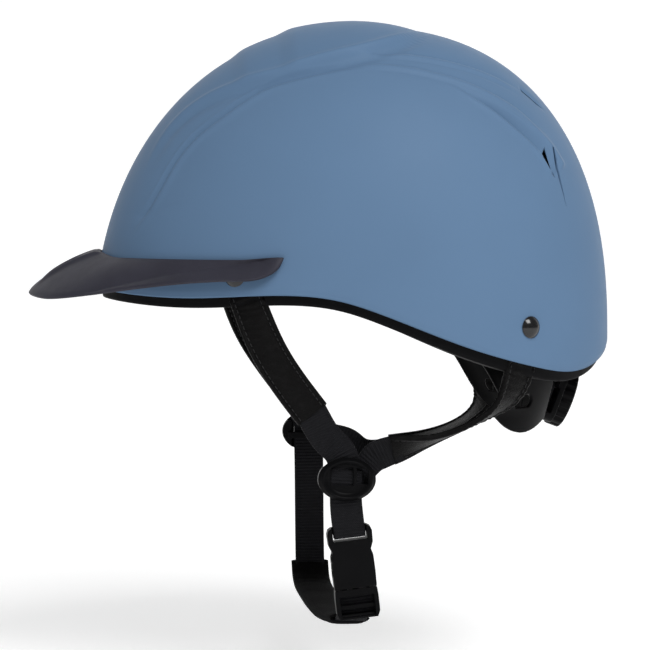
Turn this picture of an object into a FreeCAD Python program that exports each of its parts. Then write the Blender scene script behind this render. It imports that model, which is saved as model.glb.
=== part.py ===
"""Equestrian riding helmet, built as an assembly of separate pieces. Millimetres, +Z up.

The front of the helmet faces -Y and the wearer's left side faces +X. The origin is the centre of the
head opening, at the level of the brow. Each piece is written to parts/NODE.step.
"""

import FreeCAD
import Part

import math
import os

V = FreeCAD.Vector

# ---------------------------------------------------------------- driving dimensions
# Outer form of the shell: an egg-shaped superellipsoid about FORM_CENTRE_Z.
FORM_CENTRE_Z = -20.0
FORM_FRONT = 137.0          # centre to forehead
FORM_REAR = 133.0           # centre to the back of the head
FORM_HALF_WIDTH = 104.0
FORM_HEIGHT = 163.0         # centre to crown
FORM_DEPTH = 120.0          # below the centre the wall curls in slowly
EGG = 0.05                  # how much narrower the front is than the back
SQUARENESS = 2.27           # exponent of the section at the side
SQUARENESS_SHIFT = 0.15     # rounder at the front, squarer at the back

SHELL_WALL = 2.2
CROWN_RISE = 3.0            # height of the raised panel along the crown
LINER_GAP = 0.3
TRIM_WALL = 1.6
TRIM_HEIGHT = 5.0
TRIM_INSET = 5.2            # the trim stands inside the shell, so that the straps pass between

CAVITY_FRONT = 108.0
CAVITY_REAR = 104.0
CAVITY_HALF_WIDTH = 80.0
CAVITY_HEIGHT = 133.0
PAD_THICK = 7.0

# Lower edge of the shell in side view, from the forehead to the nape.
RIM = [(-150, 9), (-125, 6), (-90, 4.6), (-50, 6.5), (-18, 4.2), (5, -3), (45, -18.5), (85, -30.5),
       (108, -33.5), (124, -28.5), (140, -14)]

WEB_WIDTH = 16.0
WEB_THICK = 1.5
SLEEVE_WIDTH = 18.0
SLEEVE_THICK = 3.2
STRAP_INSET = 4.7           # centre of a strap below the shell's outer surface

FRONT_RIVET = (-67.0, 16.0)     # y, z on the shell's side
REAR_RIVET = (80.0, -10.0)
RIVET_HEAD_R = 5.5
RIVET_HEAD_H = 2.6
RIVET_SHANK_R = 2.0
RIVET_PLAY = 0.05
WASHER_R = 5.5
WASHER_THICK = 1.0

SLIDER_CENTRE = V(75, -11, -86)
RIGHT_SLIDER_CENTRE = V(75, -19, -76.5)    # seen from the left; the right side is worn a little shorter
SLIDER_WIDTH = 29.0
SLIDER_HEIGHT = 22.0

BUCKLE_TOP = V(74, -10, -109.5)
BUCKLE_TILT = 6.6           # degrees from vertical
FEMALE_LENGTH = 31.4
MALE_BASE_LENGTH = 15.0
BUCKLE_THICK = 9.0

DIAL_CENTRE = V(0, 102.4, -48.9)    # where the dial's axis meets the rack layer
DIAL_TILT = 20.5                    # degrees that the dial faces below the horizontal
DIAL_R = 16.0
MODULE = 0.8
PINION_TEETH = 10
TOOTH_HEIGHT = 0.6          # addendum in modules, a stub tooth
BACKLASH = 0.34
RACK_THICK = 1.8

ARM_HINGE = (71.0, 34.0)    # x, y of the vertical bead that each nape arm swings on
ARM_THICK = 2.2
BEAD_R = 2.0
ARM_SWEEP = 17.0            # room that the liner leaves for the arm to swing in

PEAK_END = math.radians(71)
PEAK_REACH = 28.5
PEAK_THICK = 2.4
PEAK_GAP = 0.6             # between the peak and the shell, at its upper edge
PEAK_FLARE = 4.0           # how much further out its lower edge stands

os.makedirs("parts", exist_ok=True)


# ---------------------------------------------------------------- helpers
def save(name, *solids):
    """Writes one node; several solids become one group."""
    shape = solids[0] if len(solids) == 1 else Part.makeCompound(list(solids))
    shape.exportStep(f"parts/{name}.step")
    bad = [s for s in shape.Solids if not s.isValid() or s.Volume <= 0]
    print(f"{name:22s} solids {len(shape.Solids):2d} volume {sum(s.Volume for s in shape.Solids):10.1f}"
          + ("  NOT VALID" if bad else ""))


def mirrored(shape):
    return shape.mirror(V(0, 0, 0), V(1, 0, 0))


def both_sides(shape):
    return [shape, mirrored(shape)]


def box(x0, y0, z0, x1, y1, z1):
    return Part.makeBox(x1 - x0, y1 - y0, z1 - z0, V(x0, y0, z0))


def cylinder(r, start, direction, length):
    return Part.makeCylinder(r, length, start, direction)


def placed(shape, origin, turn_about_x):
    shape = shape.copy()
    there = FreeCAD.Placement(origin, FreeCAD.Rotation(V(1, 0, 0), turn_about_x))
    shape.Placement = there.multiply(shape.Placement)
    return shape


def form(front, rear, half_width, height, alpha, rise):
    """A point of the egg-shaped form. alpha is 0 at the front and 90 degrees at the left; rise runs from
    below 0, under the centre, to 90 degrees at the crown."""
    c, s = math.cos(alpha), math.sin(alpha)
    n = SQUARENESS - SQUARENESS_SHIFT * c
    up = math.sin(rise)
    if up >= 0:
        shrink = max(0.0, 1 - up ** n) ** (1 / n)
        z = FORM_CENTRE_Z + height * up
    else:
        shrink = math.cos(rise)
        z = FORM_CENTRE_Z + FORM_DEPTH * up
    reach = (front + rear) / 2 + (front - rear) / 2 * c
    return V(half_width * s * (1 - EGG * c) * shrink, -reach * c * shrink, z)


def outer(inset, alpha, rise):
    return form(FORM_FRONT - inset, FORM_REAR - inset, FORM_HALF_WIDTH - inset, FORM_HEIGHT - inset,
                alpha, rise)


def on_side(y, z, inset=0.0):
    """The point of the left half of the shell's form at that y and z."""
    up = (z - FORM_CENTRE_Z) / ((FORM_HEIGHT - inset) if z > FORM_CENTRE_Z else FORM_DEPTH)
    rise = math.asin(max(-1.0, min(1.0, up)))
    low, high = 0.0, math.pi
    for _ in range(60):
        mid = (low + high) / 2
        if outer(inset, mid, rise).y < y:
            low = mid
        else:
            high = mid
    return outer(inset, (low + high) / 2, rise)


def side_normal(y, z):
    a, b, c = on_side(y - 1, z), on_side(y + 1, z), on_side(y, z + 1)
    n = (b - a).cross(c - on_side(y, z)).normalize()
    return n if n.x > 0 else n * -1


AROUND = 32
RISES = [-24, -12, 0, 12, 24, 36, 48, 58, 66, 73, 79, 84, 87.5]


def dome(front, rear, half_width, height):
    """A solid of the form, closed by a flat face well below the rim and a small one at the crown."""
    wires = []
    for rise in RISES:
        ring = [form(front, rear, half_width, height, 2 * math.pi * i / AROUND, math.radians(rise))
                for i in range(AROUND)]
        curve = Part.BSplineCurve()
        curve.interpolate(Points=ring, PeriodicFlag=True)
        wires.append(Part.Wire([curve.toShape()]))
    solid = Part.makeLoft(wires, True, False)
    return solid if solid.Volume > 0 else solid.reversed()


def outer_dome(inset):
    return dome(FORM_FRONT - inset, FORM_REAR - inset, FORM_HALF_WIDTH - inset, FORM_HEIGHT - inset)


def cavity_dome(inset):
    return dome(CAVITY_FRONT - inset, CAVITY_REAR - inset, CAVITY_HALF_WIDTH - inset, CAVITY_HEIGHT - inset)


def above_rim(lift):
    """All space above the rim curve, moved up by lift."""
    curve = Part.BSplineCurve()
    points = [V(-250, y, z + lift) for y, z in RIM]
    curve.interpolate(points)
    first, last = points[0], points[-1]
    outline = [last, V(-250, 250, last.z), V(-250, 250, 250), V(-250, -250, 250), V(-250, -250, first.z), first]
    edges = [curve.toShape()] + [Part.makeLine(a, b) for a, b in zip(outline, outline[1:])]
    return Part.Face(Part.Wire(edges)).extrude(V(500, 0, 0))


def ribbon(stations, thick, widen=0.0, start_along=None, ruled=False):
    """A flat band through stations of (centre, direction of its width, width)."""
    points = [s[0] for s in stations]
    wires = []
    for i, (p, across, width) in enumerate(stations):
        along = (points[min(i + 1, len(points) - 1)] - points[max(i - 1, 0)]).normalize()
        if i == 0 and start_along:
            along = start_along
        across = (across - along * across.dot(along)).normalize()
        normal = along.cross(across)
        w, t = across * ((width + widen) / 2), normal * (thick / 2)
        wires.append(Part.makePolygon([p - w - t, p + w - t, p + w + t, p - w + t, p - w - t]))
    solid = Part.makeLoft(wires, True, ruled)
    return solid if solid.Volume > 0 else solid.reversed()


def buckle_point(x, y, z):
    """A point of the buckle's own frame in the helmet's frame."""
    return placed(Part.Vertex(V(x, y, z)), BUCKLE_TOP, BUCKLE_TILT).Vertexes[0].Point


# ---------------------------------------------------------------- straps: routes shared by several pieces
def against_shell(y, z, lean, width=SLEEVE_WIDTH):
    """A strap station that lies flat against the inside of the shell."""
    n = side_normal(y, z)
    across = (lean - n * lean.dot(n)).normalize()
    return on_side(y, z) - n * STRAP_INSET, across, width


def front_strap_route():
    """Front strap of the left side: rivet, rim, sleeve end. The right side mirrors it."""
    lean = V(0, -0.94, -0.3)
    return [
        against_shell(-70, 24, lean),
        against_shell(*FRONT_RIVET, lean),
        against_shell(-62.5, 4, lean),
        (V(87.0, -51, -20), V(0, -0.88, -0.47), SLEEVE_WIDTH),
        (V(79.5, -28.5, -53), V(0, -0.86, -0.5), SLEEVE_WIDTH),
    ]


def rear_strap_route(right=False):
    """Rear strap: rivet, rim, then it curls forward and turns its edge outward. The right one sags more."""
    lean = V(0.6, -0.8, 0)
    tail = [
        (V(81, 71, -43), V(0.66, -0.74, 0.1), SLEEVE_WIDTH),
        (V(79.5, 58, -55), V(0.97, -0.2, 0.14), SLEEVE_WIDTH),
        (V(77.5, 32, -66.5), V(0.95, 0, 0.3), SLEEVE_WIDTH),
        (V(76, 12, -71.5), V(0.5, -0.1, 0.86), SLEEVE_WIDTH),
    ]
    if right:
        tail = [
            (V(78.5, 80, -47.5), V(0.66, -0.74, 0.1), SLEEVE_WIDTH),
            (V(79.5, 76, -65.5), V(0.97, -0.2, 0.14), SLEEVE_WIDTH),
            (V(78, 50, -80), V(0.95, 0, 0.3), SLEEVE_WIDTH),
            (V(76.5, 28, -86), V(0.7, 0, 0.7), SLEEVE_WIDTH),
        ]
    return [
        against_shell(81, -2, lean),
        against_shell(*REAR_RIVET, lean),
        against_shell(78, -27, lean),
    ] + tail


def strap_tools(thick, widen):
    """Room for the four straps where they pass the rim."""
    left = [ribbon(route, thick, widen) for route in (front_strap_route(), rear_strap_route())]
    right = [ribbon(route, thick, widen) for route in (front_strap_route(), rear_strap_route(right=True))]
    return left + [mirrored(shape) for shape in right]


def end_of(route):
    """End point, width direction and heading of a strap route."""
    return route[-1][0], route[-1][1], (route[-1][0] - route[-2][0]).normalize()


# ---------------------------------------------------------------- shell, liner and trim
def rivet_holes(radius, reach):
    tools = []
    for y, z in (FRONT_RIVET, REAR_RIVET):
        n = side_normal(y, z)
        hole = cylinder(radius, on_side(y, z) + n * 4, n * -1, reach + 4)
        tools += both_sides(hole)
    return tools


def vent_tools():
    """Slots for the rear vents at each side, the crown and the forehead."""
    def slot(start, end, width, out, reach=80):
        along = (end - start).normalize()
        across = along.cross(out).normalize()
        w = across * (width / 2)
        wire = Part.makePolygon([start - w, start + w, end + w * 0.25, end - w * 0.25, start - w])
        return Part.Face(wire).extrude(out * -reach)

    def on_shell(y, z):
        return on_side(y, z) + side_normal(y, z) * 5

    tools = []
    for start, end, width in (((93, 79), (101, 62), 5.0), ((78, 108), (92, 95), 3.6)):
        a, b = on_shell(*start), on_shell(*end)
        tools += both_sides(slot(a, b, width, side_normal(*start)))
    forehead = Part.makeBox(26, 60, 5, V(-13, -150, 31))
    return tools + [forehead]


def crown_panel():
    """The raised panel along the crown: the form, lifted, inside a leaf-shaped outline."""
    nose, tail, half = -66.0, 34.0, 34.0
    left = Part.Arc(V(0, nose, 60), V(half, -22, 60), V(0, tail, 60)).toShape()
    right = Part.Arc(V(0, tail, 60), V(-half, -22, 60), V(0, nose, 60)).toShape()
    leaf = Part.Face(Part.Wire([left, right])).extrude(V(0, 0, 120))
    lifted = dome(FORM_FRONT, FORM_REAR, FORM_HALF_WIDTH, FORM_HEIGHT + CROWN_RISE)
    return lifted.common(leaf)


def make_shell(solid_outer, solid_inner):
    shell = solid_outer.fuse(crown_panel()).cut(solid_inner).common(above_rim(0))
    return shell.cut(rivet_holes(RIVET_SHANK_R, 12) + vent_tools() + peg_tools(0.1))


def make_liner():
    liner = outer_dome(SHELL_WALL + LINER_GAP).cut(cavity_dome(0)).common(above_rim(-TRIM_HEIGHT + TRIM_WALL))
    liner = liner.cut(trim_zone())
    tools = rivet_holes(WASHER_R + 0.7, 11) + vent_tools() + peg_tools(0.4)
    tools += strap_tools(SLEEVE_THICK + 5.2, 2.0)
    tools += both_sides(ribbon(arm_route(), ARM_SWEEP, 4.0))
    tools += both_sides(cylinder(6.0, V(*ARM_HINGE, -20), V(0, 0, 1), 24))
    x, y = ARM_HINGE
    tools += both_sides(box(x - 2, y - 4.1, -13.1, x + 12.1, y + 4.1, 0.1))
    tools.append(box(-40, 60, -60, 40, 119.5, -26))
    return liner.cut(tools)


def trim_zone():
    """Band at the foot of the liner that the trim wraps."""
    return outer_dome(0).cut(outer_dome(TRIM_INSET + 0.1)).cut(above_rim(4.0))


def make_trim():
    """An L-shaped strip round the foot of the liner: an upright band and a web under the liner."""
    band = outer_dome(TRIM_INSET - TRIM_WALL).cut(outer_dome(TRIM_INSET - 0.1))
    web = outer_dome(TRIM_INSET - TRIM_WALL).cut(outer_dome(TRIM_INSET + 8))
    band = band.common(above_rim(-TRIM_HEIGHT)).cut(above_rim(3.8))
    web = web.common(above_rim(-TRIM_HEIGHT)).cut(above_rim(-TRIM_HEIGHT + TRIM_WALL - 0.1))
    tools = strap_tools(SLEEVE_THICK + 0.8, 1.0)
    tools += both_sides(ribbon(arm_route(), ARM_SWEEP, 4.0))
    return band.fuse(web).cut(tools)


# ---------------------------------------------------------------- rivets
def make_rivets(place):
    y, z = place
    n = side_normal(y, z)
    at = on_side(y, z)
    head_sphere_r = (RIVET_HEAD_R ** 2 + RIVET_HEAD_H ** 2) / (2 * RIVET_HEAD_H)
    ball = Part.makeSphere(head_sphere_r, at + n * (RIVET_HEAD_H + 0.35 - head_sphere_r))
    keep = cylinder(RIVET_HEAD_R, at + n * 0.35, n, 6)
    head = ball.common(keep)
    shank = cylinder(RIVET_SHANK_R - RIVET_PLAY, at + n * 0.4, n * -1, 8.6)
    return both_sides(head.fuse(shank))


def make_washers():
    solids = []
    for y, z in (FRONT_RIVET, REAR_RIVET):
        n = side_normal(y, z)
        start = on_side(y, z) - n * (STRAP_INSET + SLEEVE_THICK / 2 + 0.5)
        ring = cylinder(WASHER_R, start, n * -1, WASHER_THICK)
        solids += both_sides(ring.cut(cylinder(RIVET_SHANK_R, start + n, n * -1, 6)))
    return solids


# ---------------------------------------------------------------- peak
def smooth(t):
    t = max(0.0, min(1.0, t))
    return t * t * (3 - 2 * t)


def peak_root(s):
    """Where the peak meets the shell; s runs from -1 at the right end to 1 at the left end."""
    z = 24.3 + 4.4 * (1 - smooth(abs(s) / 0.35))
    alpha = abs(s) * PEAK_END
    rise = math.asin((z - FORM_CENTRE_Z) / FORM_HEIGHT)
    p = outer(-PEAK_GAP - PEAK_THICK, alpha, rise)
    return V(math.copysign(p.x, s) if s else 0.0, p.y, z)


def peak_edge(s):
    """The outer edge of the brim."""
    alpha = abs(s) * PEAK_END
    z = 5.2 - 1.4 * smooth(abs(s) / 0.25) + 10.4 * smooth((abs(s) - 0.2) / 0.65)
    rise = math.asin((z - FORM_CENTRE_Z) / FORM_HEIGHT)
    p = outer(-PEAK_GAP - PEAK_THICK - PEAK_FLARE, alpha, rise)
    reach = PEAK_REACH * (1 - smooth(abs(s) / 0.92)) ** 0.8
    heading = alpha * 0.55
    p = p + V(math.sin(heading), -math.cos(heading), 0) * reach
    return V(math.copysign(p.x, s) if s else 0.0, p.y, z)


def peak_section(s):
    root, edge = peak_root(s), peak_edge(s)
    span = edge - root
    outward = V(root.x, root.y, 0).normalize()
    up = (V(0, 0, 1) + outward * 0.8).normalize()
    up = (up - span * (up.dot(span) / span.dot(span))).normalize()
    inner = up * -PEAK_THICK
    crest = root + span * 0.5 + up * (0.06 * span.Length)
    outline = [root, crest, edge, edge + inner * 0.6, crest + inner, root + inner, root]
    return Part.makePolygon(outline)


PEG_PLACES = (0.0, 0.62)    # along the peak: the centre, and one at each side
PEG_R = 2.4


def peg_axis(s):
    root = peak_root(s)
    z = root.z - 3.6
    rise = math.asin((z - FORM_CENTRE_Z) / FORM_HEIGHT)
    at = outer(0, s * PEAK_END, rise)
    out = V(at.x / FORM_HALF_WIDTH ** 2, at.y / FORM_FRONT ** 2, 0).normalize()
    return at, out


def peg_tools(play):
    tools = []
    for s in PEG_PLACES:
        at, out = peg_axis(s)
        hole = cylinder(PEG_R + play, at + out * 3, out * -1, 12 + play)
        tools += [hole] if s == 0 else both_sides(hole)
    return tools


def make_pegs():
    """Pegs moulded on the back of the peak, which push through holes in the shell."""
    solids = []
    for s in PEG_PLACES:
        at, out = peg_axis(s)
        root_length = 6.5 if s == 0 else 5.2
        peg = cylinder(PEG_R, at + out * root_length, out * -1, root_length + 6.8)
        barb = Part.makeCone(PEG_R, PEG_R - 1.0, 2.0, at - out * 6.8, out * -1)
        peg = peg.fuse(barb)
        solids += [peg] if s == 0 else both_sides(peg)
    return solids


def make_peak():
    count = 12
    wires = [peak_section(-1 + 2 * i / count) for i in range(count + 1)]
    solid = Part.makeLoft(wires, True, False)
    solid = solid if solid.Volume > 0 else solid.reversed()
    return solid.cut(outer_dome(-PEAK_GAP * 0.7)).fuse(make_pegs())


# ---------------------------------------------------------------- comfort pads
def pad_skin():
    return cavity_dome(0.4).cut(cavity_dome(PAD_THICK))


def make_brow_pad(skin):
    zone = box(-90, -120, -20, 90, -42, 36)
    return skin.common(zone).common(above_rim(1.0))


def make_side_pad(skin):
    zone = box(20, -28, -20, 90, 22, 44)
    return skin.common(zone).common(above_rim(5.0))


def make_crown_pad(skin):
    lengthways = box(-15, -70, 66, 15, 72, 130)
    crossways = box(-58, -10, 66, 58, 20, 130)
    return skin.common(lengthways.fuse(crossways))


# ---------------------------------------------------------------- straps
def sleeves(right=False):
    front = ribbon(front_strap_route(), SLEEVE_THICK)
    rear = ribbon(rear_strap_route(right), SLEEVE_THICK)
    holes = rivet_holes(RIVET_SHANK_R, 14)
    return front.cut(holes), rear.cut(holes)


def front_webbing(right=False):
    """From the mouth of the front sleeve into the slider."""
    end, across, heading = end_of(front_strap_route())
    centre = RIGHT_SLIDER_CENTRE if right else SLIDER_CENTRE
    stations = [
        (end + heading * 0.02, across, WEB_WIDTH),
        (centre + V(3.0, -9.5, 20), V(0, -0.87, -0.49), WEB_WIDTH),
        (centre + V(1.85, -3.5, 13.5), V(0, -0.95, -0.3), WEB_WIDTH),
        (centre + V(1.85, -0.6, 9.0), V(0, -1, -0.05), WEB_WIDTH),
    ]
    if right:
        stations.pop(1)
    return ribbon(stations, WEB_THICK, start_along=heading)


def rear_webbing(right=False):
    """From the mouth of the rear sleeve to the slider's upper rear side."""
    end, across, heading = end_of(rear_strap_route(right))
    stations = [
        (SLIDER_CENTRE + V(-0.6, 16, 11.5), V(0.25, -0.4, 0.88), WEB_WIDTH),
        (SLIDER_CENTRE + V(-1.6, 12.2, 8.6), V(0, -0.6, 0.8), WEB_WIDTH * 0.92),
    ]
    if right:
        stations = [
            (V(75.2, 12, -88), V(0.5, 0, 0.86), WEB_WIDTH),
            (RIGHT_SLIDER_CENTRE + V(-1.2, 21, -6), V(0.1, 0.1, 0.98), WEB_WIDTH),
            (RIGHT_SLIDER_CENTRE + V(-1.6, 13.4, -3), V(0, 0.3, 0.95), WEB_WIDTH * 0.92),
        ]
    return ribbon([(end + heading * 0.02, across, WEB_WIDTH)] + stations, WEB_THICK, start_along=heading)


def drop_webbing():
    """Two layers that hang from the slider and are joined round the female buckle's bar."""
    def layer(x_buckle, x_slider):
        foot = placed(box(x_buckle, -WEB_WIDTH / 2, -5.6, x_buckle + WEB_THICK, WEB_WIDTH / 2, -1),
                      BUCKLE_TOP, BUCKLE_TILT)
        mid = WEB_THICK / 2
        hang = ribbon([
            (buckle_point(x_buckle + mid, 0, -1.2), V(0, -1, -0.1), WEB_WIDTH),
            (buckle_point(x_buckle + mid, 0, 4), V(0, -1, -0.1), WEB_WIDTH),
            (SLIDER_CENTRE + V(x_slider, -0.3, -11), V(0, -1, 0), WEB_WIDTH),
            (SLIDER_CENTRE + V(x_slider, 0, 4.5), V(0, -1, 0), WEB_WIDTH),
        ], WEB_THICK, ruled=True)
        return foot.fuse(hang)

    turn = box(-1.9 - WEB_THICK, -WEB_WIDTH / 2, -5.6, 1.9 + WEB_THICK, WEB_WIDTH / 2, -5.6 + WEB_THICK)
    turn = placed(turn, BUCKLE_TOP, BUCKLE_TILT)
    return layer(1.9, 1.85).fuse([layer(-1.9 - WEB_THICK, 0.15), turn])


# ---------------------------------------------------------------- slider
def make_slider(centre):
    """Oval strap divider: a domed front plate with two windows, and a bar that keeps the straps in."""
    w, h = SLIDER_WIDTH / 2, SLIDER_HEIGHT / 2
    scale = FreeCAD.Matrix()
    scale.A11, scale.A22, scale.A33 = 9.0, w / 0.9, h / 0.9
    domed = Part.makeSphere(1.0).transformGeometry(scale)
    domed = domed.common(box(0, -w, -h, 5.6, w, h))
    tunnel = box(-1, -9.4, -20, 3.1, 9.4, 20).fuse(box(-1, -13, 6, 3.4, 0, 20))
    side_way = box(-1, 0, 0.5, 3.1, 20, 20)
    windows = box(-1, -8.0, -3.0, 9, 3.2, 6.0).fuse(box(-1, 4.8, -2.4, 9, 10.4, 5.6))
    plate = domed.cut([tunnel, side_way, windows])
    bar = box(-2.8, -11.4, -3.6, -1.1, 11.4, 0)
    posts = box(-2.8, -11.4, -3.6, 2.0, -9.5, 0).fuse(box(-2.8, 9.5, -3.6, 2.0, 11.4, 0))
    body = plate.fuse([bar, posts]).removeSplitter()
    body.translate(centre)
    return body


# ---------------------------------------------------------------- side-release buckle, in its own frame:
# X through its thickness, Y across, Z up; z = 0 is the top of the female half.
PRONG_PIVOT_Y = 6.0
PRONG_PIVOT_Z = -FEMALE_LENGTH - 1.7
CAVITY_X = 2.9
CAVITY_Y = 9.0


def outline_solid(points, half_thick):
    """A prism through the thickness, mirrored about its centre line, from half of its outline."""
    half = [V(-half_thick, y, z) for y, z in points]
    other = [V(-half_thick, -y, z) for y, z in reversed(points)]
    wire = Part.makePolygon(half + other + [half[0]])
    return Part.Face(wire).extrude(V(2 * half_thick, 0, 0))


def make_female():
    t = BUCKLE_THICK / 2
    half = [(8.5, 0), (10.6, -1.2), (11.4, -3.5), (11.2, -9.0), (9.8, -12.6), (10.6, -15.0), (10.8, -24.0),
            (10.6, -FEMALE_LENGTH)]
    body = outline_solid(half, t)
    body = body.makeFillet(1.2, [e for e in body.Edges if abs(e.Length - 2 * t) > 0.5 and e.BoundBox.ZMax < 0.1
                                 and e.BoundBox.ZMin > -24.5])
    slot = box(-t - 1, -8.6, -7.2, t + 1, 8.6, -3.6)
    bar_relief = box(-t - 1, -8.6, -3.7, -1.7, 8.6, 1).fuse(box(1.7, -8.6, -3.7, t + 1, 8.6, 1))
    cavity = box(-CAVITY_X, -CAVITY_Y, -FEMALE_LENGTH - 1, CAVITY_X, CAVITY_Y, -11.0)
    windows = box(-CAVITY_X - 0.4, 7.0, -25.2, CAVITY_X + 0.4, 14, -13.6)
    windows = windows.fuse(box(-CAVITY_X - 0.4, -14, -25.2, CAVITY_X + 0.4, -7.0, -13.6))
    return body.cut([slot, bar_relief, cavity, windows])


def make_male():
    t = BUCKLE_THICK / 2
    top = -FEMALE_LENGTH - 0.4
    bottom = top - MALE_BASE_LENGTH
    base = outline_solid([(10.6, top), (10.9, top - 4), (10.9, bottom + 3), (9.6, bottom)], t)
    window = box(-t - 1, -8.6, top - 8.2, t + 1, 8.6, top - 3.4)
    lower_slot = box(-t - 1, -8.6, bottom + 2.0, t + 1, 8.6, bottom + 4.6)
    bar_relief = box(-t - 1, -8.6, bottom + 1, -1.0, 8.6, top - 3.4)
    bar_relief = bar_relief.fuse(box(1.6, -8.6, bottom + 1, t + 1, 8.6, top - 3.4))
    tongue = box(-1.1, -1.4, top - 0.5, 1.1, 1.4, -14.0)
    bridge = box(-CAVITY_X + 0.3, -1.4, top - 0.5, CAVITY_X - 0.3, 1.4, top + 6)
    sockets = [cylinder(1.5, V(-2.5, side * PRONG_PIVOT_Y, PRONG_PIVOT_Z), V(1, 0, 0), 5.0) for side in (-1, 1)]
    mouths = [box(-2.5, side * PRONG_PIVOT_Y - 1.9, PRONG_PIVOT_Z, 2.5, side * PRONG_PIVOT_Y + 1.9, top + 1)
              for side in (-1, 1)]
    return base.cut([window, lower_slot, bar_relief]).fuse([tongue, bridge]).cut(sockets + mouths)


def make_prong(side):
    """A springy arm with its release button; side is -1 for the front one and 1 for the rear one."""
    pivot = V(-2.4, PRONG_PIVOT_Y, PRONG_PIVOT_Z)
    knuckle = cylinder(1.35, pivot, V(1, 0, 0), 4.8)
    half = 2.4
    arm = [(5.0, PRONG_PIVOT_Z), (5.3, -22), (5.9, -12.4), (7.4, -12.0), (8.2, -14.2), (10.0, -15.6),
           (10.8, -19.0), (10.8, -22.0), (9.6, -24.6), (7.6, -25.0), (7.0, -28.0), (7.0, PRONG_PIVOT_Z)]
    wire = Part.makePolygon([V(-half, y, z) for y, z in arm + arm[:1]])
    solid = Part.Face(wire).extrude(V(2 * half, 0, 0)).fuse(knuckle).removeSplitter()
    return solid if side > 0 else solid.mirror(V(0, 0, 0), V(0, 1, 0))


# ---------------------------------------------------------------- chin strap and its pad
def chin_route(width):
    """From the right slider down, under the chin, up to the foot of the male buckle."""
    foot = buckle_point(-5.2, 0, -FEMALE_LENGTH - MALE_BASE_LENGTH + 3.0)
    forward = V(0, -1, 0)
    return [
        (V(-75, -19, -87.7), forward, width),
        (V(-75.5, -18.7, -112), forward, width),
        (V(-74.5, -18.5, -141), forward, width),
        (V(-66, -18.5, -155.5), forward, width),
        (V(-45, -17.5, -160.5), forward, width),
        (V(-5, -15, -162.5), forward, width),
        (V(35, -11, -162), forward, width),
        (V(58, -7.5, -159.5), forward, width),
        (foot, V(0, -1, -0.1), width),
    ]


def make_chin_webbing():
    route = chin_route(WEB_WIDTH)
    return ribbon(route, WEB_THICK)


def make_chin_pad():
    """A soft sleeve round the webbing under the chin, open at both ends."""
    route = [(p, across, 20.5) for p, across, _ in chin_route(0)[2:8]]
    core = ribbon(chin_route(WEB_WIDTH + 0.6), WEB_THICK + 0.6)
    return ribbon(route, 6.0).cut(core)


# ---------------------------------------------------------------- nape cradle with its dial, in the dial's
# own frame: X to the wearer's left, Y down, Z outward along the dial's axis.
PINION_R = MODULE * PINION_TEETH / 2
TIP_R = PINION_R + MODULE * TOOTH_HEIGHT
ROOT_R = PINION_R - MODULE * (TOOTH_HEIGHT + 0.25)
PRESSURE = math.radians(20)
HOUSING_X, HOUSING_Y = 24.0, 14.5
RACK_END = 32.2


def dial_placed(shape):
    return placed(shape, DIAL_CENTRE, -90 - DIAL_TILT)


def involute(base_r, r):
    """Angle that an involute has turned through when it reaches radius r."""
    if r <= base_r:
        return 0.0
    roll = math.sqrt((r / base_r) ** 2 - 1)
    return roll - math.atan(roll)


def make_pinion():
    base_r = PINION_R * math.cos(PRESSURE)
    half_angle = math.pi / (2 * PINION_TEETH) - BACKLASH / (4 * PINION_R)
    radii = [ROOT_R, base_r, (base_r + TIP_R) / 2, TIP_R]
    points = []
    for k in range(PINION_TEETH):
        middle = 2 * math.pi * k / PINION_TEETH
        flank = [(r, half_angle + involute(base_r, PINION_R) - involute(base_r, r)) for r in radii]
        tooth = [(r, middle - a) for r, a in flank] + [(r, middle + a) for r, a in reversed(flank)]
        points += [V(r * math.sin(a), -r * math.cos(a), -RACK_THICK / 2 - 0.1) for r, a in tooth]
    wheel = Part.Face(Part.makePolygon(points + points[:1])).extrude(V(0, 0, RACK_THICK + 0.2))
    boss = cylinder(2.8, V(0, 0, RACK_THICK / 2), V(0, 0, 1), 3.4)
    drive = box(-1.7, -1.7, RACK_THICK / 2 + 3.3, 1.7, 1.7, 8.4)
    return wheel.fuse([boss, drive]).cut(cylinder(0.85, V(0, 0, -3), V(0, 0, 1), 20))


def make_rack():
    """The upper rack: teeth along its lower edge, at the pinion's top. It belongs to the left arm."""
    pitch = math.pi * MODULE
    line, reach = -PINION_R, MODULE * TOOTH_HEIGHT
    half_tooth = pitch / 4 - BACKLASH / 4
    slope = math.tan(PRESSURE)
    points = [V(-16.0, -9.2, 0), V(-16.0, line - reach * 1.25, 0)]
    for k in range(-6, 7):
        x = (k + 0.5) * pitch
        low, high = half_tooth + reach * slope * 1.25, half_tooth - reach * slope
        points += [V(x - low, line - reach * 1.25, 0), V(x - high, line + reach, 0),
                   V(x + high, line + reach, 0), V(x + low, line - reach * 1.25, 0)]
    points += [V(RACK_END, line - reach * 1.25, 0), V(RACK_END, -9.2, 0)]
    strip = Part.Face(Part.makePolygon(points + points[:1])).extrude(V(0, 0, RACK_THICK))
    strip.translate(V(0, 0, -RACK_THICK / 2))
    return strip


def lozenge(x, y, z0, z1, corner):
    """A block with rounded corners seen along the dial's axis."""
    block = box(-x, -y, z0, x, y, z1)
    upright = [e for e in block.Edges if abs(e.Length - (z1 - z0)) < 1e-6
               and e.BoundBox.XLength < 1e-3 and e.BoundBox.YLength < 1e-3]
    return block.makeFillet(corner, upright)


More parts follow.
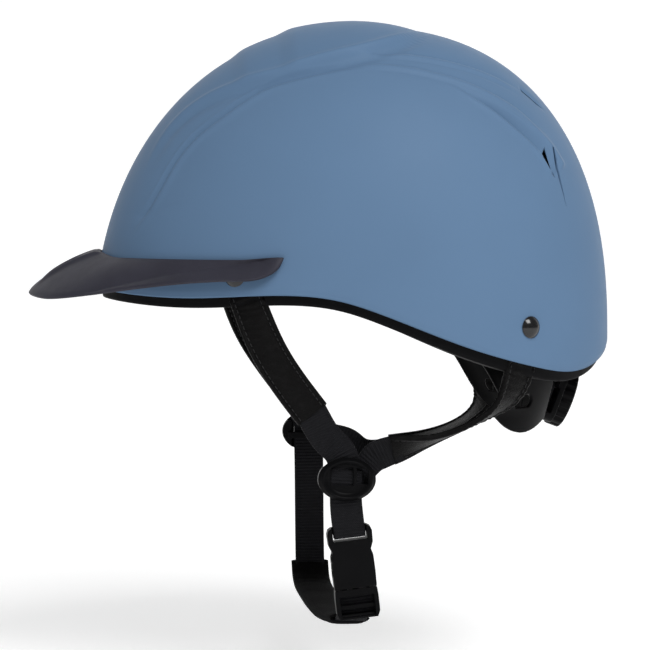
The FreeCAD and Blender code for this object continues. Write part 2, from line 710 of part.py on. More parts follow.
def make_housing():
    """Inner half of the dial housing, next to the head."""
    plate = lozenge(HOUSING_X, HOUSING_Y, -3.4, -1.3, 7.0)
    rails = box(-HOUSING_X + 4, -11.2, -1.4, HOUSING_X - 4, -9.5, 1.3)
    rails = rails.fuse(box(-HOUSING_X + 4, 9.5, -1.4, HOUSING_X - 4, 11.2, 1.3))
    return plate.fuse(rails).cut(cylinder(1.25, V(0, 0, -5), V(0, 0, 1), 6)).removeSplitter()


def make_cover():
    """Outer half of the housing, which carries the dial."""
    cap = lozenge(HOUSING_X, HOUSING_Y, -1.2, 4.2, 7.0)
    room = box(-HOUSING_X + 3.8, -11.3, -2, HOUSING_X - 3.8, 11.3, 1.4)
    slot = box(-40, -9.6, -1.3, 40, 9.6, 1.4)
    collar = cylinder(6.5, V(0, 0, 4.1), V(0, 0, 1), 1.2)
    hole = cylinder(2.9, V(0, 0, 0), V(0, 0, 1), 9)
    return cap.fuse(collar).cut([room, slot, hole]).removeSplitter()


def make_dial():
    """The knob: a disc with finger flutes round its rim and a raised grip."""
    z0, z1 = 4.7, 12.0
    disc = cylinder(DIAL_R, V(0, 0, z0), V(0, 0, 1), z1 - z0)
    rim = [e for e in disc.Edges if e.BoundBox.ZLength < 1e-3 and e.BoundBox.ZMax > z1 - 0.1]
    disc = disc.makeFillet(1.4, rim)
    flutes = []
    for k in range(16):
        a = 2 * math.pi * k / 16
        centre = V(math.cos(a) * (DIAL_R + 1.5), math.sin(a) * (DIAL_R + 1.5), z0 - 1)
        flutes.append(cylinder(2.4, centre, V(0, 0, 1), 12))
    recess = cylinder(7.1, V(0, 0, z0 - 1), V(0, 0, 1), 2.2)
    drive = box(-1.75, -1.75, z0, 1.75, 1.75, 8.6)
    screw_hole = cylinder(1.3, V(0, 0, 8), V(0, 0, 1), 2.4).fuse(cylinder(2.6, V(0, 0, 10.2), V(0, 0, 1), 3))
    return disc.cut(flutes + [recess, drive, screw_hole])


def make_dial_screw():
    head = cylinder(2.5, V(0, 0, 10.3), V(0, 0, 1), 1.3)
    shank = cylinder(0.8, V(0, 0, 1.5), V(0, 0, 1), 9)
    recess = box(-1.7, -0.35, 11.0, 1.7, 0.35, 12).fuse(box(-0.35, -1.7, 11.0, 0.35, 1.7, 12))
    return head.fuse(shank).cut(recess)


def make_nape_pad():
    pad = lozenge(HOUSING_X - 1, HOUSING_Y + 1.0, -9.5, -3.5, 9.0)
    edges = [e for e in pad.Edges if e.BoundBox.ZMax < -9.4]
    return pad.makeFillet(2.4, edges)


def arm_route():
    """Left nape arm, from the swing bead to the end of the housing: a wing that dips below the rim."""
    x, y = ARM_HINGE
    return [
        (V(x - 0.1, y + 2.4, -7), V(0, 0, 1), 11.0),
        (V(x - 0.9, y + 9, -12), V(0, 0.1, 1), 15.0),
        (V(66.5, 54, -23), V(0, 0.2, 1), 17.0),
        (V(60.0, 68.5, -40.5), V(0, 0.3, 1), 25.0),
        (V(50.0, 83, -49.5), V(-0.1, 0.33, 1), 34.0),
        (V(40.0, 92.6, -50.6), V(-0.08, 0.35, 0.94), 26.0),
        (V(34.0, 97.0, -50.2), V(0, 0.35, 0.94), 20.0),
    ]


def make_arm():
    plate = ribbon(arm_route(), ARM_THICK)
    bead = cylinder(BEAD_R, V(*ARM_HINGE, -12.5), V(0, 0, 1), 11.0)
    slot_at = V(52.5, 79.5, -49.5)
    out = V(0.72, 0.69, 0)
    slot = Part.makeCylinder(3.2, 30, slot_at - out * 15, out)
    across = V(0.69, -0.72, 0)
    slots = [slot.copy().translate(across * d) for d in (-5, 5)]
    joining = box(-5, -15, -3.2, 5, 15, 3.2)
    joining.Placement = FreeCAD.Placement(slot_at, FreeCAD.Rotation(V(0, 1, 0), out))
    return plate.fuse(bead).cut(slots + [joining])


def make_clip():
    """Socket on the liner that holds the arm's bead and lets it swing."""
    x, y = ARM_HINGE
    socket = cylinder(BEAD_R + 2.0, V(x, y, -12.8), V(0, 0, 1), 12.0)
    plug = box(x, y - 4, -12.8, x + 12, y + 4, -0.8)
    way_out = box(x - 2.6, y, -14, x + 1.9, y + 6, 2)
    bore = cylinder(BEAD_R + 0.1, V(x, y, -14), V(0, 0, 1), 16)
    return socket.fuse(plug).cut([bore, way_out]).common(cylinder(30, V(x, y, -12.8), V(0, 0, 1), 12.0))


# ---------------------------------------------------------------- build
def build():
    inner = outer_dome(SHELL_WALL)
    save("outer_shell", make_shell(outer_dome(0), inner))
    save("impact_liner", make_liner())
    save("edge_trim", make_trim())
    save("front_rivets", *make_rivets(FRONT_RIVET))
    save("rear_rivets", *make_rivets(REAR_RIVET))
    save("rivet_washers", *make_washers())
    save("peak", make_peak())

    skin = pad_skin()
    save("brow_pad", make_brow_pad(skin))
    side = make_side_pad(skin)
    save("left_side_pad", side)
    save("right_side_pad", mirrored(side))
    save("crown_pad", make_crown_pad(skin))

    for side, right in (("left", False), ("right", True)):
        front, rear = sleeves(right)
        slider = make_slider(RIGHT_SLIDER_CENTRE if right else SLIDER_CENTRE)
        for name, shape in (("front_sleeve", front), ("rear_sleeve", rear), ("front_webbing", front_webbing(right)),
                            ("rear_webbing", rear_webbing(right)), ("slider", slider)):
            save(f"{side}_{name}", mirrored(shape) if right else shape)
    save("left_drop_webbing", drop_webbing())
    save("chin_webbing", make_chin_webbing())
    save("chin_pad", make_chin_pad())

    for name, shape in (("buckle_female", make_female()), ("buckle_male", make_male()),
                        ("front_prong", make_prong(-1)), ("rear_prong", make_prong(1))):
        save(name, placed(shape, BUCKLE_TOP, BUCKLE_TILT))

    rack = make_rack()
    turned = rack.copy()
    turned.rotate(V(0, 0, 0), V(0, 0, 1), 180)
    for name, shape in (("nape_housing", make_housing()), ("nape_cover", make_cover()),
                        ("nape_pad", make_nape_pad()), ("dial", make_dial()), ("dial_pinion", make_pinion()),
                        ("dial_screw", make_dial_screw()),
                        ("left_rack", rack), ("right_rack", turned)):
        save(name, dial_placed(shape))
    arm, clip = make_arm(), make_clip()
    save("left_nape_arm", arm)
    save("right_nape_arm", mirrored(arm))
    save("nape_arm_clips", *both_sides(clip))


build()
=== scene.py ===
import math

import bmesh
import bpy
import numpy as np
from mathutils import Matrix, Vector


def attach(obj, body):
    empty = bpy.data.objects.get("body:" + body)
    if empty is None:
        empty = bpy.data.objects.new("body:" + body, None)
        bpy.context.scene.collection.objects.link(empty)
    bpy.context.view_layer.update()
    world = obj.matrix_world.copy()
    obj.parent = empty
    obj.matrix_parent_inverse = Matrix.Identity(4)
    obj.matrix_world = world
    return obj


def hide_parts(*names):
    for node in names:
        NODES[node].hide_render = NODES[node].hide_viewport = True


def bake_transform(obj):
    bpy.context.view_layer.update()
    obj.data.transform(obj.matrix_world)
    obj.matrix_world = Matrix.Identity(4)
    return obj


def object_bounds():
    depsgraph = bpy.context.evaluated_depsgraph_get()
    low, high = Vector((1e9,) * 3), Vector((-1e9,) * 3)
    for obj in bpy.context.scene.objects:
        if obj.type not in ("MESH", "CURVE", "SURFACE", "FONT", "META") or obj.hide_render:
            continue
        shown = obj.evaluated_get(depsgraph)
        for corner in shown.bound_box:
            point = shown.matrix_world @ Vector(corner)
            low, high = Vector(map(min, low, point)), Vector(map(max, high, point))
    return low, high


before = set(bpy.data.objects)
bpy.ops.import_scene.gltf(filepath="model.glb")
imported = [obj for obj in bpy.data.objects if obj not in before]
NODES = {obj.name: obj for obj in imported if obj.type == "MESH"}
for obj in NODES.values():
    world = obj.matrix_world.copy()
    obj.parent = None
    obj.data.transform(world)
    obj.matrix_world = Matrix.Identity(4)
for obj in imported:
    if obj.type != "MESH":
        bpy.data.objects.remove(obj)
cad_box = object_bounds()
MM = 0.001

# ---------------------------------------------------------------- the form, as in the CAD model, in mm
FORM_CENTRE_Z = -20.0
FORM_FRONT = 137.0
FORM_REAR = 133.0
FORM_HALF_WIDTH = 104.0
FORM_HEIGHT = 163.0
FORM_DEPTH = 120.0
EGG = 0.05
SQUARENESS = 2.27
SQUARENESS_SHIFT = 0.15
SHELL_WALL = 2.2
TRIM_INSET = 5.2
STRAP_INSET = 4.7
PEAK_GAP = 0.6
PEAK_THICK = 2.4
PEAK_FLARE = 4.0
PEAK_END = math.radians(71)
PEAK_REACH = 28.5
RIM = [(-150, 9), (-125, 6), (-90, 4.6), (-50, 6.5), (-18, 4.2), (5, -3), (45, -18.5), (85, -30.5),
       (108, -33.5), (124, -28.5), (140, -14)]
FRONT_RIVET = (-67.0, 16.0)
REAR_RIVET = (80.0, -10.0)


def form(alpha, rise, inset=0.0):
    """Points of the egg-shaped form, in mm. alpha is 0 at the front, rise 90 degrees at the crown."""
    c, s = np.cos(alpha), np.sin(alpha)
    n = SQUARENESS - SQUARENESS_SHIFT * c
    up = np.sin(rise)
    above = np.maximum(0, 1 - np.abs(up) ** n) ** (1 / n)
    shrink = np.where(up >= 0, above, np.cos(rise))
    z = FORM_CENTRE_Z + np.where(up >= 0, FORM_HEIGHT - inset, FORM_DEPTH) * up
    reach = (FORM_FRONT + FORM_REAR) / 2 - inset + (FORM_FRONT - FORM_REAR) / 2 * c
    x = (FORM_HALF_WIDTH - inset) * s * (1 - EGG * c) * shrink
    return np.stack(np.broadcast_arrays(x, -reach * c * shrink, z), -1)


def rise_at(z, inset=0.0):
    up = (np.asarray(z, float) - FORM_CENTRE_Z)
    return np.arcsin(np.clip(np.where(up > 0, up / (FORM_HEIGHT - inset), up / FORM_DEPTH), -1, 1))


def on_side(y, z, inset=0.0):
    """Points of the form's left half at given y and z."""
    y, z = np.broadcast_arrays(np.asarray(y, float), np.asarray(z, float))
    rise = rise_at(z, inset)
    low, high = np.zeros_like(rise), np.full_like(rise, math.pi)
    for _ in range(45):
        mid = (low + high) / 2
        short = form(mid, rise, inset)[..., 1] < y
        low, high = np.where(short, mid, low), np.where(short, high, mid)
    return form((low + high) / 2, rise, inset)


def side_normal(y, z):
    n = np.cross(on_side(y + 1, z) - on_side(y - 1, z), on_side(y, z + 1) - on_side(y, z))
    n = n / np.linalg.norm(n)
    return n if n[0] > 0 else -n


def natural_spline(points, count):
    """A smooth curve of count points through the given ones, evenly spread by chord length."""
    p = np.asarray(points, float)
    t = np.concatenate([[0], np.cumsum(np.maximum(np.linalg.norm(np.diff(p, axis=0), axis=1), 1e-9))])
    size = len(p)
    h = np.diff(t)
    a = np.zeros((size, size))
    b = np.zeros_like(p)
    a[0, 0] = a[-1, -1] = 1
    for i in range(1, size - 1):
        a[i, i - 1:i + 2] = h[i - 1], 2 * (h[i - 1] + h[i]), h[i]
        b[i] = 6 * ((p[i + 1] - p[i]) / h[i] - (p[i] - p[i - 1]) / h[i - 1])
    m = np.linalg.solve(a, b)
    s = np.linspace(0, t[-1], count)
    k = np.clip(np.searchsorted(t, s, side="right") - 1, 0, size - 2)
    u, v, hk = (s - t[k])[:, None], (t[k + 1] - s)[:, None], h[k][:, None]
    return (m[k] * v ** 3 + m[k + 1] * u ** 3) / (6 * hk) + (p[k] / hk - m[k] * hk / 6) * v \
        + (p[k + 1] / hk - m[k + 1] * hk / 6) * u


RIM_CURVE = natural_spline(RIM, 400)


def rim_z(y):
    return np.interp(y, RIM_CURVE[:, 0], RIM_CURVE[:, 1])


def smooth(t):
    t = np.clip(t, 0, 1)
    return t * t * (3 - 2 * t)


# ---------------------------------------------------------------- mesh helpers
def new_object(name, verts, faces, material):
    mesh = bpy.data.meshes.new(name)
    mesh.from_pydata([tuple(v) for v in np.asarray(verts, float) * MM], [], faces)
    mesh.validate()
    obj = bpy.data.objects.new(name, mesh)
    bpy.context.scene.collection.objects.link(obj)
    return dress(obj, None, material)


def dress(obj, body, material, replaces=()):
    """Gives a piece its body and material, and hides the CAD nodes it stands for."""
    obj.data.polygons.foreach_set("use_smooth", [True] * len(obj.data.polygons))
    obj.data.materials.clear()
    obj.data.materials.append(material)
    if body:
        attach(obj, body)
    if replaces:
        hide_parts(*replaces)
    return obj


def grid_faces(rows, columns, wrap=False):
    last = columns if wrap else columns - 1
    return [(r * columns + c, r * columns + (c + 1) % columns, (r + 1) * columns + (c + 1) % columns,
             (r + 1) * columns + c) for r in range(rows - 1) for c in range(last)]


def apply_modifiers(obj):
    """Replaces a mesh by its evaluated self, so that no modifier is left on it."""
    graph = bpy.context.evaluated_depsgraph_get()
    graph.update()
    mesh = bpy.data.meshes.new_from_object(obj.evaluated_get(graph))
    obj.modifiers.clear()
    obj.data = mesh
    return obj


def fix_normals(obj):
    bm = bmesh.new()
    bm.from_mesh(obj.data)
    bmesh.ops.recalc_face_normals(bm, faces=bm.faces)
    bm.to_mesh(obj.data)
    bm.free()
    return obj


def points_mm(obj):
    return np.array([v.co for v in obj.data.vertices]) / MM


def move_points(obj, co):
    """Puts a mesh's points at the given places, in mm."""
    obj.data.vertices.foreach_set("co", (co * MM).ravel())
    obj.data.update()


def softened_copy(node, name, voxel, rounds):
    """A copy of a CAD solid, remeshed at voxel mm, with modifiers that round its edges."""
    obj = bpy.data.objects.new(name, NODES[node].data.copy())
    bpy.context.scene.collection.objects.link(obj)
    remesh = obj.modifiers.new("remesh", "REMESH")
    remesh.mode = "VOXEL"
    remesh.voxel_size = voxel * MM
    soften = obj.modifiers.new("soften", "SMOOTH")
    soften.factor, soften.iterations = 0.5, rounds
    return obj


def moulded(node, name, body, material, voxel):
    """A CAD piece with the softened edges of a moulding."""
    obj = apply_modifiers(softened_copy(node, name, voxel, 4))
    return dress(obj, body, material, (node,))


def subdivided(obj):
    divide = obj.modifiers.new("divide", "SUBSURF")
    divide.levels = divide.render_levels = 1
    return apply_modifiers(obj)


# ---------------------------------------------------------------- materials
class Look:
    """A Principled material that is built up from procedural layers."""

    def __init__(self, name, colour, rough, spec):
        self.material = bpy.data.materials.new(name)
        self.material.use_nodes = True
        self.tree = self.material.node_tree
        self.shader = self.tree.nodes["Principled BSDF"]
        self.colour = colour
        self.shader.inputs["Base Color"].default_value = (*colour, 1)
        self.shader.inputs["Roughness"].default_value = rough
        self.shader.inputs["Specular IOR Level"].default_value = spec
        self.place = self.node("ShaderNodeTexCoord").outputs["Object"]
        self.normal = None

    def node(self, kind, **values):
        n = self.tree.nodes.new(kind)
        for key, value in values.items():
            setattr(n, key, value)
        return n

    def link(self, a, b):
        self.tree.links.new(a, b)

    def set(self, socket, value):
        self.shader.inputs[socket].default_value = value
        return self

    def stretched(self, scale):
        mapping = self.node("ShaderNodeMapping")
        mapping.inputs["Scale"].default_value = scale
        self.link(self.place, mapping.inputs["Vector"])
        return mapping.outputs["Vector"]

    def noise(self, size_mm, detail=3.0, rough=0.5, vector=None):
        n = self.node("ShaderNodeTexNoise")
        n.inputs["Scale"].default_value = 1000 / size_mm
        n.inputs["Detail"].default_value = detail
        n.inputs["Roughness"].default_value = rough
        self.link(vector or self.place, n.inputs["Vector"])
        return n.outputs["Fac"]

    def cells(self, size_mm, feature="F1", random=1.0):
        n = self.node("ShaderNodeTexVoronoi", feature=feature)
        n.inputs["Scale"].default_value = 1000 / size_mm
        n.inputs["Randomness"].default_value = random
        self.link(self.place, n.inputs["Vector"])
        return n.outputs["Distance"]

    def waves(self, size_mm, direction, vector):
        n = self.node("ShaderNodeTexWave", bands_direction=direction)
        n.inputs["Scale"].default_value = 1000 / size_mm / (2 * math.pi) * 2
        self.link(vector, n.inputs["Vector"])
        return n.outputs["Fac"]

    def ramp(self, value, low, high, out_low=0.0, out_high=1.0):
        n = self.node("ShaderNodeMapRange")
        n.inputs["From Min"].default_value = low
        n.inputs["From Max"].default_value = high
        n.inputs["To Min"].default_value = out_low
        n.inputs["To Max"].default_value = out_high
        self.link(value, n.inputs["Value"])
        return n.outputs["Result"]

    def tint(self, value, other):
        """Mixes towards another colour where value is high."""
        mix = self.node("ShaderNodeMix", data_type="RGBA")
        mix.inputs["A"].default_value = (*self.colour, 1)
        mix.inputs["B"].default_value = (*other, 1)
        self.link(value, mix.inputs["Factor"])
        previous = self.shader.inputs["Base Color"].links
        if previous:
            self.link(previous[0].from_socket, mix.inputs["A"])
        self.link(mix.outputs["Result"], self.shader.inputs["Base Color"])
        return self

    def roughen(self, value, low, high):
        self.link(self.ramp(value, 0, 1, low, high), self.shader.inputs["Roughness"])
        return self

    def bump(self, value, depth_mm, strength=1.0):
        n = self.node("ShaderNodeBump")
        n.inputs["Distance"].default_value = depth_mm * MM
        n.inputs["Strength"].default_value = strength
        self.link(value, n.inputs["Height"])
        if self.normal:
            self.link(self.normal, n.inputs["Normal"])
        self.normal = n.outputs["Normal"]
        self.link(self.normal, self.shader.inputs["Normal"])
        return self


def shade(colour, factor):
    return tuple(min(1.0, c * factor) for c in colour)


def shell_paint():
    """Satin lacquer over plastic: a fine orange peel and a faint drift of colour."""
    blue = (0.108, 0.184, 0.298)
    look = Look("shell_paint", blue, 0.55, 0.03)
    look.tint(look.ramp(look.noise(60, 2), 0.35, 0.75, 0, 0.5), shade(blue, 0.92))
    look.tint(look.ramp(look.cells(0.35), 0.0, 0.25, 0.16, 0.0), shade(blue, 1.5))
    look.roughen(look.noise(9, 4), 0.38, 0.47)
    look.bump(look.noise(1.6, 2), 0.012, 0.7)
    return look.bump(look.noise(0.3, 2), 0.004, 0.6).material


def beaded_foam():
    grey = (0.012, 0.012, 0.013)
    look = Look("beaded_foam", grey, 0.8, 0.3)
    beads = look.cells(3.2, "DISTANCE_TO_EDGE")
    look.tint(look.ramp(beads, 0.0, 0.12, 0.8, 0.0), shade(grey, 0.35))
    look.tint(look.ramp(look.noise(5, 3), 0.4, 0.7, 0, 0.5), shade(grey, 1.8))
    look.roughen(look.noise(2, 3), 0.65, 0.9)
    look.bump(look.ramp(beads, 0.0, 0.2, 0, 1), 0.35, 0.7)
    return look.bump(look.noise(0.5, 3), 0.03, 0.5).material


def soft_plastic(name, colour, rough, grain_mm, depth_mm, spec):
    """Moulded plastic with a spark-eroded grain and slightly rubbed patches."""
    look = Look(name, colour, rough, spec)
    look.tint(look.ramp(look.noise(18, 4), 0.4, 0.75, 0, 0.55), shade(colour, 1.35))
    look.tint(look.ramp(look.noise(0.8, 2), 0.62, 0.8, 0, 0.35), shade(colour, 1.9))
    look.roughen(look.noise(6, 4), rough - 0.07, rough + 0.08)
    look.bump(look.noise(grain_mm, 2, 0.7), depth_mm, 0.8)
    return look.bump(look.cells(grain_mm * 1.7), depth_mm * 0.6, 0.5).material


def gloss_black():
    black = (0.004, 0.004, 0.0045)
    look = Look("gloss_black", black, 0.16, 0.5)
    look.tint(look.ramp(look.noise(3, 4), 0.5, 0.8, 0, 0.6), shade(black, 2.2))
    look.roughen(look.noise(1.5, 4), 0.1, 0.24)
    return look.bump(look.noise(0.8, 3), 0.006, 0.6).material


def plated_steel(name, colour):
    look = Look(name, colour, 0.35, 0.5)
    look.set("Metallic", 1.0)
    look.tint(look.ramp(look.noise(2.5, 4), 0.4, 0.7, 0, 0.6), shade(colour, 0.7))
    look.roughen(look.noise(1.2, 4), 0.25, 0.5)
    return look.bump(look.noise(0.4, 3, vector=look.stretched((1, 8, 1))), 0.01, 0.6).material


def knit_fabric():
    """Dark brushed knit: small loops in rows, with a soft sheen."""
    dark = (0.0035, 0.0034, 0.0038)
    look = Look("knit_fabric", dark, 0.9, 0.035)
    loops = look.cells(0.9, random=0.35)
    look.tint(look.ramp(loops, 0.15, 0.6, 0.0, 0.7), shade(dark, 0.4))
    look.tint(look.ramp(look.noise(12, 4), 0.45, 0.7, 0, 0.5), shade(dark, 1.9))
    look.roughen(look.noise(1.5, 3), 0.8, 0.97)
    look.bump(look.ramp(loops, 0, 0.6, 1, 0), 0.16, 0.9)
    look.bump(look.noise(0.35, 3), 0.04, 0.6)
    look.set("Sheen Weight", 0.01)
    return look.set("Sheen Roughness", 0.45).material


def grained_leather():
    black = (0.004, 0.0038, 0.0039)
    look = Look("grained_leather", black, 0.36, 0.055)
    pebbles = look.cells(1.1, "DISTANCE_TO_EDGE")
    folds = look.noise(5, 5, 0.6, vector=look.stretched((1, 1, 2.2)))
    look.tint(look.ramp(pebbles, 0.0, 0.1, 0.9, 0.0), shade(black, 0.4))
    look.tint(look.ramp(folds, 0.5, 0.8, 0.0, 0.6), shade(black, 2.4))
    look.roughen(look.noise(3, 4), 0.3, 0.52)
    look.bump(look.ramp(pebbles, 0.0, 0.25, 0, 1), 0.12, 0.8)
    return look.bump(folds, 0.5, 0.6).material


def woven_webbing():
    """Polyamide webbing. Its ribs are in the mesh; this adds the threads of the weave."""
    black = (0.005, 0.005, 0.006)
    look = Look("woven_webbing", black, 0.62, 0.08)
    uv = look.node("ShaderNodeUVMap").outputs["UV"]
    threads = look.waves(0.55, "DIAGONAL", uv)
    fibres = look.waves(0.3, "X", uv)
    look.tint(look.ramp(threads, 0.2, 0.8, 0.0, 0.55), shade(black, 2.6))
    look.tint(look.ramp(look.noise(4, 4), 0.5, 0.75, 0.0, 0.4), shade(black, 0.5))
    look.roughen(look.noise(1, 3), 0.5, 0.75)
    look.bump(threads, 0.09, 0.9)
    look.bump(fibres, 0.03, 0.6)
    look.set("Sheen Weight", 0.02)
    return look.set("Sheen Roughness", 0.4).material


def thread():
    grey = (0.014, 0.014, 0.015)
    look = Look("thread", grey, 0.55, 0.3)
    look.tint(look.ramp(look.noise(0.5, 3), 0.4, 0.7, 0, 0.7), shade(grey, 0.4))
    look.roughen(look.noise(0.6, 2), 0.45, 0.7)
    return look.bump(look.noise(0.25, 2), 0.05, 0.8).material


PAINT = shell_paint()
FOAM = beaded_foam()
RUBBER = soft_plastic("edge_rubber", (0.004, 0.004, 0.0045), 0.6, 0.5, 0.03, 0.05)
PEAK = soft_plastic("peak_plastic", (0.03, 0.0295, 0.041), 0.52, 0.4, 0.018, 0.12)
RIVET = gloss_black()
STEEL = plated_steel("plated_steel", (0.5, 0.5, 0.49))
SCREW = plated_steel("screw_steel", (0.34, 0.34, 0.36))
KNIT = knit_fabric()
LEATHER = grained_leather()
WEBBING = woven_webbing()
BUCKLE = soft_plastic("buckle_plastic", (0.0036, 0.0036, 0.004), 0.36, 0.3, 0.012, 0.04)
CRADLE = soft_plastic("cradle_plastic", (0.0036, 0.0036, 0.004), 0.36, 0.5, 0.02, 0.045)
THREAD = thread()


# ---------------------------------------------------------------- shell
class SurfaceLine:
    """A line on the shell's left half, given by (y, z) points, with signed distances to it."""

    def __init__(self, points, count=90):
        yz = natural_spline(points, count)
        self.points = on_side(yz[:, 0], yz[:, 1])
        self.along = np.linspace(0, 1, count)

    def measure(self, p):
        """Distance, positive towards the crown, and the place along the line from 0 to 1."""
        best = np.full(len(p), 1e9)
        index = np.zeros(len(p), int)
        for i, q in enumerate(self.points):
            d = ((p - q) ** 2).sum(1)
            closer = d < best
            best[closer], index[closer] = d[closer], i
        nearest = self.points[index]
        last = len(self.points) - 1
        tangent = self.points[np.minimum(index + 1, last)] - self.points[np.maximum(index - 1, 0)]
        tangent /= np.linalg.norm(tangent, axis=1)[:, None]
        outward = nearest * [1, 1, 0.7] + [0, 0, 20.0]
        side = np.cross(outward, tangent)
        side /= np.linalg.norm(side, axis=1)[:, None]
        gap = p - nearest
        sign = np.sign((gap * side).sum(1))
        slide = (gap * tangent).sum(1)
        beyond = np.maximum(-slide, 0) * (index == 0) + np.maximum(slide, 0) * (index == last)
        across = np.sqrt(np.maximum(best - slide ** 2, 0))
        return across * np.where(sign == 0, 1, sign), self.along[index], beyond


RIDGE = SurfaceLine([(-113, 62), (-99, 88), (-76, 106.5), (-57, 113.5), (-37, 118.5), (-18, 123.5),
                     (-2, 127.2), (14, 132.2), (30, 138.6)])
CHANNEL_FOOT = SurfaceLine([(-121, 30), (-105.5, 52.5), (-96, 69.3), (-86, 82.5), (-71.6, 94.1), (-45, 110.6),
                            (-28, 115.2), (-14, 117.8), (4, 119)])
FAN_TOP = SurfaceLine([(-12, 125.5), (7, 126.8), (26.5, 125.8), (46.4, 122.2), (66.3, 115.9), (82.4, 108)])
FAN_MIDDLE = SurfaceLine([(-12, 121), (16, 120.4), (30, 118), (47, 113.5), (64, 106.5), (80, 97), (92, 85)])
SCOOP_FOOT = SurfaceLine([(38, 113.5), (52, 105.4), (64, 97.6), (79, 85.5), (89.4, 75.4), (94, 67.5)])
SLIT = SurfaceLine([(81, 110.5), (88, 105), (96, 98)])
LOW_FRONT = SurfaceLine([(-117, 44), (-106, 47.5), (-92, 51), (-76, 54)])
DEEPEST = -2.1              # the styling never sinks further, because the wall is 2.2 mm


def ends_faded(along, start, end):
    """1 along a line, falling to 0 over its first and last shares."""
    return smooth(along / max(start, 1e-6)) * smooth((1 - along) / max(end, 1e-6))


def hump(d, centre, half):
    return np.exp(-((d - centre) / half) ** 2)


def relief(p):
    """Height of the shell's styling above the plain form, in mm. p are points of the plain form."""
    p = np.stack([np.abs(p[:, 0]), p[:, 1], p[:, 2]], -1)
    y = p[:, 1]

    d, t, beyond = RIDGE.measure(p)
    steps = 1.4 * smooth((y + 67) / 10) + 1.6 * smooth((y + 43) / 11)
    tail = np.clip(1 - (np.maximum(y + 6, 0) / 37) ** 2, 0, 1)
    height = steps * tail * smooth((d + 3.0) / 6.0)
    fade = ends_faded(t, 0.3, 0.1) * np.exp(-(beyond / 2) ** 2)
    height += fade * (1.25 * hump(d, 0.5, 3.0) - 1.1 * hump(d, -6.2, 3.2))

    foot, s, past = CHANNEL_FOOT.measure(p)
    fade = ends_faded(s, 0.3, 0.25) * np.exp(-(past / 6) ** 2)
    height -= 1.9 * fade * smooth(foot / 1.5) * np.exp(-np.maximum(foot - 1.5, 0) / 7.0)
    height += fade * (0.55 * hump(foot, -1.4, 2.2) + 0.45 * hump(foot, 6.0, 1.0))

    for line, depth, width in ((FAN_TOP, 1.1, 3.2), (FAN_MIDDLE, 1.0, 3.0)):
        d, t, beyond = line.measure(p)
        fade = ends_faded(t, 0.3, 0.18) * np.exp(-(beyond / 3) ** 2)
        height -= depth * fade * smooth(d / 0.9) * np.exp(-np.maximum(d - 0.9, 0) / width)
        height += fade * (0.6 * hump(d, -1.5, 2.0) - 0.35 * hump(d, -4.6, 1.1))

    d, t, beyond = SCOOP_FOOT.measure(p)
    fade = smooth(t / 0.55) * np.exp(-(beyond / 1.6) ** 2)
    width = 1.2 + 5.5 * t
    height -= 2.6 * fade * smooth(d / 0.9) * np.exp(-(np.maximum(d - 0.9, 0) / width) ** 1.6)
    height += fade * (1.8 * hump(d, 3.0 + 9.0 * t, 3.6) + 1.0 * hump(d, -1.4, 1.6))

    d, t, beyond = SLIT.measure(p)
    shape = np.exp(-(np.maximum(-d, 0) / 1.3) ** 2 - (np.maximum(d, 0) / 3.1) ** 2)
    height -= 1.5 * shape * np.exp(-(beyond / 1.2) ** 2) * ends_faded(t, 0.12, 0.45)

    d, t, beyond = LOW_FRONT.measure(p)
    height -= 0.35 * ends_faded(t, 0.1, 0.7) * hump(d, 0, 2.5) * (beyond < 1)
    return np.maximum(height, DEEPEST)


def foot_rise(alpha, lift):
    """How low the form reaches before the rim curve, moved up by lift, cuts it."""
    low, high = np.full_like(alpha, math.radians(-40)), np.full_like(alpha, math.radians(40))
    for _ in range(45):
        mid = (low + high) / 2
        p = form(alpha, mid)
        under = p[..., 2] < rim_z(p[..., 1]) + lift
        low, high = np.where(under, mid, low), np.where(under, high, mid)
    return (low + high) / 2


def form_normals(alpha, rise):
    e = 1e-3
    n = np.cross(form(alpha + e, rise) - form(alpha - e, rise), form(alpha, rise + e) - form(alpha, rise - e))
    length = np.linalg.norm(n, axis=-1, keepdims=True)
    n = n / np.maximum(length, 1e-12)
    outward = np.sign((n * form(alpha, rise * 0 + 0.2)).sum(-1, keepdims=True))
    return n * np.where(outward == 0, 1, outward)


def shell_sheet(columns, rows, inset):
    """A grid of points from the rim to near the crown, with its outward normals."""
    alpha = np.linspace(0, 2 * math.pi, columns, endpoint=False)
    foot = foot_rise(alpha, 0.0)
    rise = foot[None] + (math.pi / 2 - foot[None]) * np.linspace(0, 0.995, rows)[:, None]
    alpha = np.broadcast_to(alpha, rise.shape)
    normal = form_normals(alpha, rise).reshape(-1, 3)
    return form(alpha, rise).reshape(-1, 3) - normal * inset, normal


